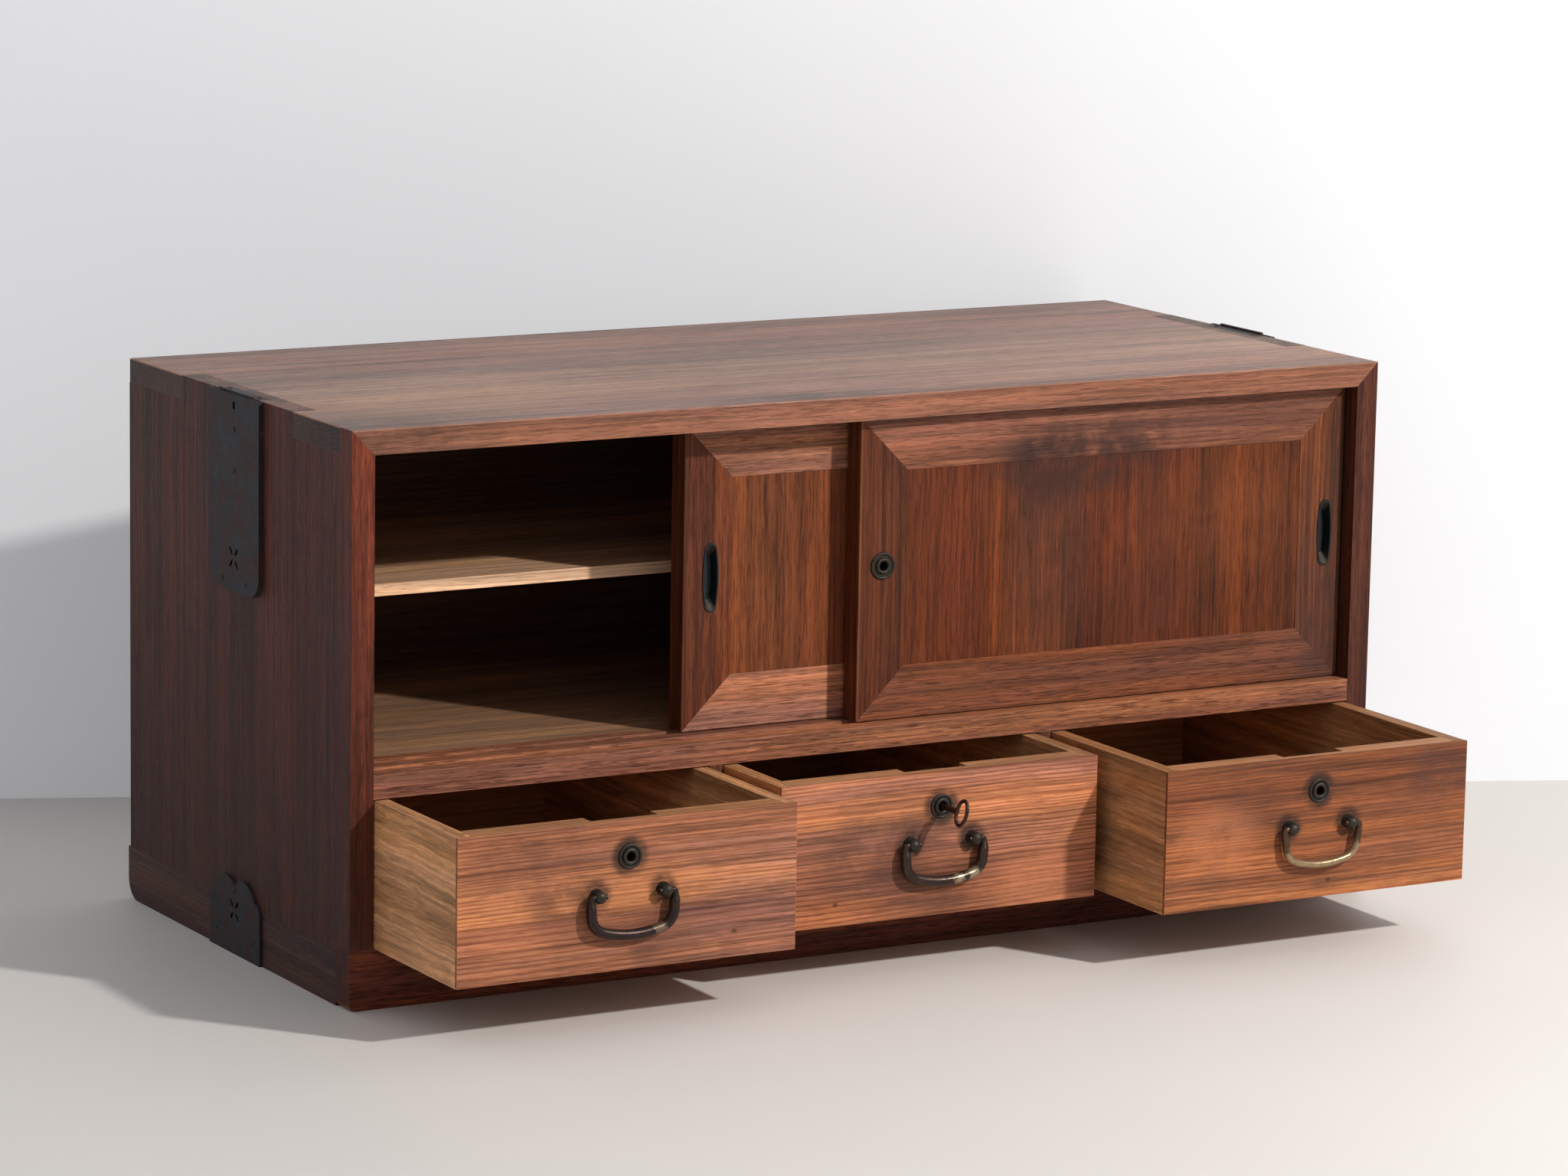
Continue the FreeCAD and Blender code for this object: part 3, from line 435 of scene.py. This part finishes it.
# Painted sheen: on both sides the ends factor paints the finger ends that lie in the top grey
# like the top's sheen.
left_side_wood = wood("left_side_wood", "Z", (-420, -330), CASE_TONES["left_side"],
                      ring_share=0.4, front=(1.42, 1.27, 0.92), ends=(1.9, 4.2, 4.8),
                      edge=(120, 70, 48), edge_share=0.3, cloud=0.5, rough=0.5, lines=1.1,
                      streak=1.4, flecks=0.6, pore_share=0.7, warmth=0.6, stains_and_shade=SIDE_PAINTED_SHADE)
right_side_wood = wood("right_side_wood", "Z", (420, -330), CASE_TONES["right_side"],
                       ring_share=0.4, ends=(1.9, 4.2, 4.8), edge=(120, 70, 48),
                       edge_share=0.35, rough=0.5, pore_share=0.7, warmth=0.6)
rail_wood = wood("rail_wood", "X", (-150, 120), CASE_TONES["rail"], rings=2.6, bend=0.7,
                 flecks=0.6, ends=(0.55, 0.6, 0.65), edge=(170, 108, 72), pore_share=0.9)
divider_wood = wood("divider_wood", "Z", (-100, -300), CASE_TONES["divider"], rings=3.0)
runner_wood = wood("runner_wood", "Y", (-430, 90), CASE_TONES["runner"], rings=3.5,
                   ring_share=0.4, edge=(112, 76, 60), edge_share=0.3)
print("case finishes made")

# %% [markdown]
# Inside, such a chest is of pale wood that never saw stain: the drawers' sides, backs and
# bottoms, the shelf and the boards behind. Only light and hands have yellowed it.

# %% Finishes of the inner wood
def pale_wood(name, grain, heart, width_axis, span, base, **more):
    """Wood of one tone with two darker bands; span is where the board starts and ends."""
    dark = tuple(int(level * 0.86) for level in base)
    low, high = span
    tones = (width_axis, [(low, base), (low + (high - low) * 0.4, dark),
                          (low + (high - low) * 0.7, base), (high, dark)])
    settings = {"ring_share": 0.4, "lines": 0.6, "pore_share": 0.3, "warmth": 0.6,
                "rough": 0.62}
    settings.update(more)
    return wood(name, grain, heart, tones, **settings)


# Painted highlight: the shelf's front edge is painted lighter than its top, where the lamp
# lights the edge and the top lies in shade.
shelf_lit_edge_wood = pale_wood("shelf_lit_edge_wood", "X", (-40, 220), "Y", (-100, 200), (222, 179, 140),
                       front=(1.3, 1.35, 1.4))
floor_wood = pale_wood("floor_wood", "X", (-40, 60), "Y", (-150, 200), (165, 127, 98))
back_wood = pale_wood("back_wood", "X", (300, 220), "Z", (40, 450), (112, 76, 56))
# Painted shade: all three sides are one pale wood; the right drawer's darker tone stands for the
# shade on its side next to the middle drawer.
DRAWER_SIDE_TONES_AND_SHADE = {"left": (226, 167, 118), "middle": (208, 152, 105), "right": (189, 136, 92)}
drawer_side_woods = {side: pale_wood(side + "_drawer_side_wood", "Y", (-520, 60), "Z", (48, 165),
                                     tone, bend=5.0, rings=5.0, lines=0.9, flecks=0.3)
                     for side, tone in DRAWER_SIDE_TONES_AND_SHADE.items()}
drawer_bottom_wood = pale_wood("drawer_bottom_wood", "X", (-100, -100), "Y", (-380, 60),
                               (150, 104, 74))
drawer_core_wood = pale_wood("drawer_core_wood", "X", (-300, 300), "Z", (48, 165),
                             (208, 148, 104))
print("inner finishes made")

# %% [markdown]
# The two doors are framed: upright stiles, level rails, and a panel with upright grain. The
# rails catch the light across their level grain and look pinker than the stiles, although they
# are of the same wood, so their lighter, pinker tones are a painted sheen. A dark stain runs
# from the right door's top rail down over its panel, so both finishes get it at the same place.

# %% Tones and stains of the doors
DOOR_TONES = {
    "left_stile": ("X", [(-170, (100, 51, 29)), (-120, (108, 56, 31)), (300, (94, 46, 25))]),
    "right_stile": ("X", [(-20, (89, 46, 26)), (40, (84, 44, 25)), (400, (112, 60, 33)),
                          (440, (109, 61, 35)), (456, (107, 63, 38))]),
    "left_rail": ("Z", [(186, (176, 121, 96)), (230, (168, 112, 88)), (390, (158, 105, 80)),
                        (434, (135, 90, 70))]),
    "right_rail": ("Z", [(186, (110, 66, 48)), (205, (126, 76, 53)), (230, (122, 70, 45)),
                         (390, (126, 79, 60)), (412, (152, 97, 73)), (434, (130, 86, 68))]),
    "left_panel": ("X", [(-122, (111, 59, 31)), (-90, (131, 71, 35)), (-60, (114, 61, 33)),
                         (0, (120, 63, 33)), (263, (111, 57, 31))]),
    "right_panel": ("X", [(26, (88, 43, 20)), (90, (94, 43, 20)), (115, (108, 53, 22)),
                          (135, (105, 55, 31)), (175, (107, 56, 31)), (200, (102, 48, 21)),
                          (280, (94, 44, 20)), (330, (106, 52, 20)), (380, (94, 46, 19)),
                          (412, (101, 51, 21))])}
STILE_STAINS = [((452, -200, 210), 10, 90, 0.6, (1, 1, 0.5), (66, 48, 46)),
                ((456, -200, 380), 4, 24, 0.5, (1, 1, 0.3), (60, 46, 44))]
RAIL_STAINS = [((190, -200, 388), 14, 24, 0.9, (0.3, 1, 1), (58, 36, 30)),
               ((158, -200, 392), 10, 16, 0.8, (0.6, 1, 1), (56, 34, 28)),
               ((400, -200, 412), 40, 110, 0.4, (1, 1, 1), (98, 60, 46)),
               ((450, -200, 196), 14, 60, 0.6, (1, 1, 1), (64, 48, 46)),
               ((240, -200, 400), 10, 60, 0.4, (0.5, 1, 1), (70, 44, 36))]
PANEL_STAINS = [((190, -200, 386), 13, 24, 0.9, (0.3, 1, 1), (62, 36, 28)),
                ((158, -200, 380), 10, 24, 0.8, (0.7, 1, 0.7), (60, 34, 27)),
                ((168, -200, 325), 16, 46, 0.55, (1, 1, 0.5), (70, 40, 30)),
                ((330, -200, 330), 8, 60, 0.2, (0.5, 1, 1), (150, 84, 48)),
                ((250, -200, 260), 10, 50, 0.35, (0.7, 1, 1), (76, 42, 34)),
                ((394, -200, 318), 0.8, 2, 0.8, (0.1, 1, 1), (190, 110, 62))]
print("tones for", len(DOOR_TONES), "kinds of door board")

# %% [markdown]
# The rails are cut from straight wood, so their rings bend less than those of the stiles and
# the panels. They also show more pores and more light flecks.

# %% Finishes of the doors
left_stile_wood = wood("left_stile_wood", "Z", (-60, -520), DOOR_TONES["left_stile"],
                       rings=3.0, ring_share=0.6, lines=1.3, edge=(150, 96, 66))
right_stile_wood = wood("right_stile_wood", "Z", (190, -520), DOOR_TONES["right_stile"],
                        rings=3.0, ring_share=0.6, lines=1.3, edge=(158, 104, 70),
                        edge_share=0.8, pore_share=0.35, stains_and_shade=STILE_STAINS)
# Painted sheen: the rails' lighter, pinker tones stand for the light that their level grain
# catches.
left_rail_sheen_wood = wood("left_rail_sheen_wood", "X", (-260, 350), DOOR_TONES["left_rail"], rings=2.6,
                      ring_share=0.35, bend=0.8, pore_share=0.7, flecks=0.45)
right_rail_sheen_wood = wood("right_rail_sheen_wood", "X", (-280, 350), DOOR_TONES["right_rail"],
                       rings=2.6, ring_share=0.35, bend=0.8, pore_share=0.7, flecks=0.35,
                       stains_and_shade=RAIL_STAINS)
left_panel_wood = wood("left_panel_wood", "Z", (40, -330), DOOR_TONES["left_panel"],
                       rings=2.6, ring_share=0.3, pore_share=0.6, cloud=0.6)
right_panel_wood = wood("right_panel_wood", "Z", (260, -300), DOOR_TONES["right_panel"],
                        rings=2.6, ring_share=0.3, streak=1.1, pore_share=0.6, cloud=0.7,
                        stains_and_shade=PANEL_STAINS)
print("door finishes made")

# %% [markdown]
# All three drawer fronts were cut from one board, so one grain runs on from drawer to drawer:
# dense lines and a purple-brown tone above, wide wavy lines and an orange tone below. The
# heart of the log therefore lies low behind the faces.

# %% Tones of the drawer fronts
FACE_TONES = {
    "left": [(48, (162, 109, 86)), (70, (172, 115, 90)), (92, (166, 109, 86)),
             (106, (191, 130, 93)), (120, (178, 120, 89)), (134, (169, 112, 85)),
             (165, (162, 107, 82))],
    "middle": [(48, (164, 105, 75)), (80, (168, 107, 76)), (108, (169, 112, 84)),
               (122, (181, 121, 85)), (140, (187, 125, 94)), (165, (179, 119, 91))],
    "right": [(48, (172, 110, 71)), (84, (163, 101, 66)), (108, (150, 92, 58)),
              (124, (134, 82, 56)), (148, (124, 74, 49)), (165, (136, 83, 52))]}
print("tones for", len(FACE_TONES), "drawer fronts")

# %% [markdown]
# Hands have darkened the wood round the key rings and the posts of the bails, and every front
# has its own knot, smudges and faded spots. A painted shadow lies under each bail, and on the
# left and middle fronts a smudge left of the left post is a painted shadow too. Their places
# are given in mm from the middle of the drawer and from the floor, so a mark stays with its
# drawer.

# %% Marks of the drawer fronts
DRAWERS = {"left": (-307.333, -352.5), "middle": (0.0, -302.5), "right": (307.333, -383.5)}
KNOTS = {"left": (92, 69), "middle": (-96, 66), "right": (12, 62)}
# Painted shadow: the first smudge of the left and middle fronts, left of the left post, stands
# for the shadow of the post and bail.
SMUDGES_AND_SHADOWS = {"left": [(-56, 104, 8, 22, 0.65), (-90, 146, 16, 50, 0.4), (60, 62, 10, 40, 0.3)],
           "middle": [(-62, 104, 14, 36, 0.65), (-14, 124, 6, 22, 0.4), (-20, 60, 8, 30, 0.35)],
           "right": [(-70, 126, 9, 28, 0.4), (120, 144, 10, 24, 0.65), (-100, 74, 4, 12, 0.5),
                     (95, 104, 20, 34, 0.25)]}
FADED = {"left": [(-100, 62, 16, 24, 0.15)], "middle": [(92, 62, 18, 24, 0.35)],
         "right": [(-98, 104, 14, 26, 0.35)]}
SMUDGE_AND_SHADOW_TINT, FADED_TINT = (84, 54, 46), (212, 134, 90)
LOCK_Z, POST_Z, POST_HALF = 137.0, 109.0, 28.8
EVEN, LONG = (1, 1, 1), (0.7, 1, 1)


def face_marks(side):
    """The marks of one drawer front: stains round lock and posts, a painted bail shadow, its
    own.
    """
    centre, face_y = DRAWERS[side]
    knot_x, knot_z = KNOTS[side]
    marks = [((centre, face_y, LOCK_Z), 12, 7, 0.9, EVEN, (50, 36, 30))]
    marks += [((centre + post, face_y, POST_Z), 8, 8, 0.85, EVEN, (48, 34, 30))
              for post in (-POST_HALF, POST_HALF)]
    # Painted shadow: the reddish mark under the bail's bar stands for the shadow of the bail.
    marks += [((centre, face_y, POST_Z - 30), 10, 26, 0.3, (0.6, 1, 1), (110, 66, 46)),
              ((centre + knot_x, face_y, knot_z), 0.7, 1.8, 1.0, LONG, (46, 22, 16)),
              ((centre + 12, face_y, POST_Z - 49), 3, 9, 0.4, (0.5, 1, 1), (84, 56, 46))]
    for spots, mark_colour in ((SMUDGES_AND_SHADOWS[side], SMUDGE_AND_SHADOW_TINT), (FADED[side], FADED_TINT)):
        marks += [((centre + at_x, face_y, at_z), radius, blur, strength, LONG, mark_colour)
                  for at_x, at_z, radius, blur, strength in spots]
    return marks


print("marks on the left front:", len(face_marks("left")))

# %% [markdown]
# The three finishes differ only in their tones and marks. The rings get their full share
# here, because these fronts show the boldest figure of the whole chest.

# %% Finishes of the drawer fronts
HEART_BEHIND = 45
face_woods = {}
for side, (_, face_y) in DRAWERS.items():
    face_woods[side] = wood(side + "_face_wood", "X", (face_y + HEART_BEHIND, 15),
                            ("Z", FACE_TONES[side]), rings=3.2, ring_share=1.0, bend=2.6,
                            tilt=0.012, streak=0.9, warmth=1.1, pore_share=0.35,
                            edge=(206, 142, 98), edge_share=0.9, stains_and_shade=face_marks(side))
print("drawer face finishes made")

# %% [markdown]
# The irons were blackened over a fire with oil. The flat plates have gone dull and grey with
# some rust. The bails are handled every day, so they are smoother, and bare metal shows in
# patches where fingers rub them. Three noises of different size make clouds of rust, lighter
# blots and dark pits.

# %% Make an iron finish
BLOT_TINT, PIT_TINT = (1.5, 1.45, 1.4), (0.35, 0.32, 0.3)
BLOT_SHARE, PIT_SHARE, METAL_SHARE = 0.6, 0.6, 0.75
IRON_DEPTH = 0.25 * MM


def iron(name, base, rust, bare, rust_share=0.4, bare_share=0.3, rough=0.5, scale=1.0,
         worn=()):
    """scale makes the spots finer; worn are (centre, radius, blur, stretch) in mm, the
    places where the bare metal shows."""
    made = Finish(name)
    pits = made.noise(made.place, 900 * scale, 3.0, 0.6)
    clouds = made.noise(made.place, 60 * scale, 4.0, 0.62)
    blots = made.noise(made.place, 170 * scale, 3.0, 0.55)
    colour = made.mix(made.between(clouds, 0.42, 0.62) * rust_share, tint(*base), tint(*rust))
    colour = made.mix(made.between(blots, 0.5, 0.75) * BLOT_SHARE, colour,
                      times(made, colour, BLOT_TINT))
    colour = made.mix(made.between(pits, 0.55, 0.68) * PIT_SHARE, colour,
                      times(made, colour, PIT_TINT))
    colour = made.mix(made.corners(0.02, 0.2) * (blots + 0.2) * bare_share, colour, tint(*bare))
    for centre, radius, blur, stretch in worn:
        spot = made.near([c * MM for c in centre], radius * MM, blur * MM, stretch)
        rubbed = spot + (blots - 0.5) * 1.8 + (pits - 0.5) * 0.5 - 0.4
        colour = made.mix(made.between(rubbed, 0.0, 0.5) * 0.9, colour, tint(*bare))
    roughness = rough + (clouds - 0.5) * 0.35 + (pits - 0.5) * 0.2
    height = pits * 0.4 + blots * 0.6
    return made.finish(colour, roughness, height, IRON_DEPTH, METAL_SHARE)


print("iron finish ready")

# %% [markdown]
# Now each iron gets its own finish from that one function. The bails differ most: the left
# and middle ones are dark with a small bare patch, the right one has lost most of its black.

# %% Finishes of the irons
plate_iron = iron("plate_iron", (52, 51, 56), (82, 54, 44), (104, 100, 100), rust_share=0.6,
                  rough=0.6, scale=0.7)
lock_iron = iron("lock_iron", (64, 58, 56), (92, 60, 44), (110, 104, 100))
cup_iron = iron("cup_iron", (40, 46, 50), (50, 42, 38), (120, 108, 94), bare_share=0.7,
                scale=1.5)
ring_iron = iron("ring_iron", (50, 48, 44), (66, 48, 38), (96, 88, 78), scale=2.0)
key_iron = iron("key_iron", (52, 36, 30), (88, 52, 36), (96, 78, 66), rough=0.42, scale=2.0)
left_bail_iron = iron("left_bail_iron", (50, 38, 35), (40, 28, 25), (118, 100, 84),
                      bare_share=0.1, rough=0.34, scale=1.2,
                      worn=[((-285, -358.9, 80), 3, 8, (1, 1, 1))])
middle_bail_iron = iron("middle_bail_iron", (56, 42, 38), (42, 30, 26), (158, 142, 116),
                        bare_share=0.1, rough=0.34, scale=1.2,
                        worn=[((12, -308.9, 77), 3, 7, (1, 1, 1)),
                              ((27, -308.9, 80), 4, 8, (1, 1, 1))])
right_bail_iron = iron("right_bail_iron", (84, 62, 46), (62, 44, 34), (160, 136, 104),
                       bare_share=0.1, rough=0.32, scale=1.2,
                       worn=[((307.3, -389.9, 72), 22, 16, (0.6, 1, 1))])
print("iron finishes made")

# %% [markdown]
# The frame's boards have knife-sharp edges. A real board's edges were eased with a plane and
# then worn by hands, and it is on these narrow rounds that the light falls. So each board is
# copied first, and its loose triangles are merged into clean faces. The copy stands for its
# node: it rides on the same body.

# %% Copy a board of the frame
def body_of(node):
    for body, nodes in frame["record"]["behaviour"]["bodies"].items():
        if node in nodes:
            return body
    raise ValueError("no body holds " + node)


MERGE_WITHIN = 0.01 * MM
FLAT_ANGLE = math.radians(0.6)


def pick_up(piece):
    """Selects one piece alone and makes it the active one."""
    bpy.ops.object.select_all(action="DESELECT")
    piece.select_set(True)
    bpy.context.view_layer.objects.active = piece


def stand_for(piece, node, finish):
    """The piece takes the node's place and body, and gets its finish."""
    piece.data.materials.clear()
    piece.data.materials.append(finish)
    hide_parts(node)
    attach(piece, body_of(node))


def copy_of(node, name):
    """A copy of a node's mesh with its triangles merged into clean faces."""
    source = frame["nodes"][node]
    mesh = source.data.copy()
    piece = bpy.data.objects.new(name, mesh)
    bpy.context.scene.collection.objects.link(piece)
    pick_up(piece)
    bpy.ops.object.mode_set(mode="EDIT")
    bpy.ops.mesh.select_all(action="SELECT")
    bpy.ops.mesh.remove_doubles(threshold=MERGE_WITHIN)
    bpy.ops.mesh.dissolve_limited(angle_limit=FLAT_ANGLE)
    bpy.ops.mesh.select_all(action="DESELECT")
    bpy.ops.object.mode_set(mode="OBJECT")
    return piece


print("copies ready")

# %% [markdown]
# The bevel takes its width from a weight on each edge, so one bevel can be wide on the outer
# edges of the case and narrow where boards meet. It gets two segments, which is enough for a
# round of a millimetre. The weighted normals after it keep the flats flat, so that no soft
# shade creeps from an edge into the middle of a board.

# %% Round the edges of a copy
SHARP_ANGLE = math.radians(25)
BEVEL_SEGMENTS = 2
FLAT_WEIGHT = 90


def eased(node, finish, joint, outer=0.0, is_outer=None):
    """Puts a copy with rounded edges in a node's place. joint and outer are widths in mm;
    is_outer says which edges get the outer one."""
    piece = copy_of(node, node + "_eased")
    width = max(outer, joint)
    mesh = piece.data
    bpy.ops.object.mode_set(mode="EDIT")
    bpy.ops.mesh.select_mode(type="EDGE")
    bpy.ops.mesh.select_all(action="DESELECT")
    bpy.ops.mesh.edges_select_sharp(sharpness=SHARP_ANGLE)
    bpy.ops.object.mode_set(mode="OBJECT")
    weights = mesh.attributes.new("bevel_weight_edge", "FLOAT", "EDGE")
    for edge in mesh.edges:
        a, b = [mesh.vertices[i].co for i in edge.vertices]
        far = is_outer is not None and is_outer(a / MM) and is_outer(b / MM)
        if edge.select:
            weights.data[edge.index].value = (outer if far else joint) / width
    bpy.ops.object.shade_smooth()
    bpy.ops.object.modifier_add(type="BEVEL")
    bevel = piece.modifiers[-1]
    bevel.width = width * MM
    bevel.segments = BEVEL_SEGMENTS
    bevel.limit_method = "WEIGHT"
    bpy.ops.object.modifier_apply(modifier=bevel.name)
    bpy.ops.object.modifier_add(type="WEIGHTED_NORMAL")
    flat = piece.modifiers[-1]
    flat.weight = FLAT_WEIGHT
    bpy.ops.object.modifier_apply(modifier=flat.name)
    stand_for(piece, node, finish)


print("rounding ready")

# %% [markdown]
# The outer edges of the case are the ones that get knocked, so they are rounded by 1.3 mm and
# all others by a fraction of a millimetre. An outer edge is one whose two ends both lie on
# two outer sides of the case.

# %% Ease all boards
HALF_WIDTH, HALF_DEPTH, CASE_HEIGHT = 475, 210.5, 454
REACH = 0.1


def on_case_edge(point):
    """True where a point in mm lies on two outer sides of the case."""
    outside = [abs(abs(point.x) - HALF_WIDTH) < REACH, abs(abs(point.y) - HALF_DEPTH) < REACH,
               point.z > CASE_HEIGHT - REACH or point.z < REACH]
    return sum(outside) >= 2


for node, finish in (("top_board", top_sheen_wood), ("left_side_board", left_side_wood),
                     ("right_side_board", right_side_wood), ("base_rail", rail_wood)):
    eased(node, finish, joint=0.3, outer=1.3, is_outer=on_case_edge)
for node, finish in (("sill_facing", rail_wood), ("sill_rail", rail_wood),
                     ("drawer_dividers", divider_wood), ("runners", runner_wood),
                     ("shelf_board", shelf_lit_edge_wood), ("cupboard_floor", floor_wood),
                     ("back_boards", back_wood), ("bottom_board", back_wood),
                     ("drawer_slips", back_wood)):
    eased(node, finish, joint=0.4)
for side, stile, rail, panel in (("left", left_stile_wood, left_rail_sheen_wood, left_panel_wood),
                                 ("right", right_stile_wood, right_rail_sheen_wood,
                                  right_panel_wood)):
    eased(side + "_door_stiles", stile, joint=0.25)
    eased(side + "_door_rails", rail, joint=0.25)
    eased(side + "_door_panel", panel, joint=0.3)
for side in DRAWERS:
    drawer = side + "_drawer_"
    eased(drawer + "facing", face_woods[side], joint=0.5)
    eased(drawer + "front", drawer_core_wood, joint=0.5)
    eased(drawer + "sides", drawer_side_woods[side], joint=0.6)
    eased(drawer + "back", drawer_core_wood, joint=0.5)
    eased(drawer + "bottom", drawer_bottom_wood, joint=0.3)
print("boards eased")

# %% [markdown]
# The irons that are cut from sheet keep their outline, with edges filed round. Those that are
# round by themselves, such as the bails, and those that never show, such as the lock boxes,
# only get their finish.

# %% Dress the irons
for node in ("carry_covers", "foot_plates"):
    eased(node, plate_iron, joint=0.3)
for node in ("left_carry_loop", "right_carry_loop"):
    eased(node, plate_iron, joint=0.4)


def coat(node, finish):
    """Gives a node that keeps its own shape a finish."""
    mesh = frame["nodes"][node].data
    mesh.materials.clear()
    mesh.materials.append(finish)


coat("backing_plates", plate_iron)
eased("plate_nails", plate_iron, joint=0.35)
coat("right_door_lock_case", lock_iron)
coat("right_door_escutcheon", ring_iron)
coat("left_door_finger_pull", cup_iron)
coat("right_door_finger_pull", cup_iron)
coat("key", key_iron)
for side, bail_iron in (("left", left_bail_iron), ("middle", middle_bail_iron),
                        ("right", right_bail_iron)):
    drawer = side + "_drawer_"
    coat(drawer + "lock_case", lock_iron)
    coat(drawer + "lock_bolt", lock_iron)
    coat(drawer + "escutcheon", ring_iron)
    coat(drawer + "bail_posts", ring_iron)
    coat(drawer + "bail", bail_iron)
print("irons dressed")

# %% [markdown]
# The room is a pale floor and a pale wall close behind the chest, at a slight angle to it. Its
# distance follows from where it meets the floor in the picture. Light that the room throws
# back on the wall is given to it as a faint glow that only the viewer and polished metal see.
# From behind, the wall lets the eye through, so that the cabinet can be looked at from all
# sides.

# %% Set the stage
FLOOR_TINT, WALL_TINT, PAINT_SPREAD = (228, 223, 218), (232, 235, 239), 5
FLOOR_SIZE, WALL_SIZE = 14.0, 12.0
WALL_GLOW = (0.115, 0.11, 0.11, 1)
WALL_NORMAL = Vector((0.3744, 0.9273, 0))
WALL_BEHIND = 0.405
WALL_LOW = -0.1


def paint(name, colour, rough):
    """The finish of a plain painted surface, a touch cloudy."""
    made = Finish(name)
    soft = made.noise(made.place, 1.3, 4.0, 0.55)
    dark, light = [tint(*[level + step for level in colour])
                   for step in (-PAINT_SPREAD, PAINT_SPREAD)]
    made.finish(made.mix(soft, dark, light), rough)
    return made


floor_paint = paint("floor_paint", FLOOR_TINT, 0.55)
bpy.ops.mesh.primitive_plane_add(size=FLOOR_SIZE, location=(0, 0, 0))
floor = bpy.context.object
floor.name = "floor"
floor.data.materials.append(floor_paint.material)

wall_paint = paint("wall_paint", WALL_TINT, 0.7)
seen, mirrored, through = [wall_paint.node("ShaderNodeLightPath", {}, {}, kind)
                           for kind in ("Is Camera Ray", "Is Glossy Ray", "Is Transmission Ray")]
wall_paint.shader.inputs["Emission Strength"].default_value = 1.0
wall_paint.join(wall_paint.shader.inputs["Emission Color"],
                wall_paint.mix(seen + mirrored + through, (0, 0, 0, 1), WALL_GLOW))
front_side = 1 - wall_paint.node("ShaderNodeNewGeometry", {}, {}, "Backfacing")
clear = wall_paint.node("ShaderNodeBsdfTransparent", {}, {})
solid = Wire(wall_paint, wall_paint.shader.outputs["BSDF"])
mixed = wall_paint.node("ShaderNodeMixShader", {}, {0: front_side, 1: clear, 2: solid})
wall_paint.join(wall_paint.tree.nodes["Material Output"].inputs["Surface"], mixed)
wall_middle = WALL_NORMAL * WALL_BEHIND + Vector((0, 0, WALL_LOW + WALL_SIZE / 2))
wall_turn = math.atan2(-WALL_NORMAL.x, WALL_NORMAL.y)
bpy.ops.mesh.primitive_plane_add(size=WALL_SIZE, location=wall_middle,
                                 rotation=(math.radians(90), 0, wall_turn))
wall = bpy.context.object
wall.name = "wall"
wall.data.materials.append(wall_paint.material)
print("stage set, wall", WALL_BEHIND, "m behind the middle of the case")
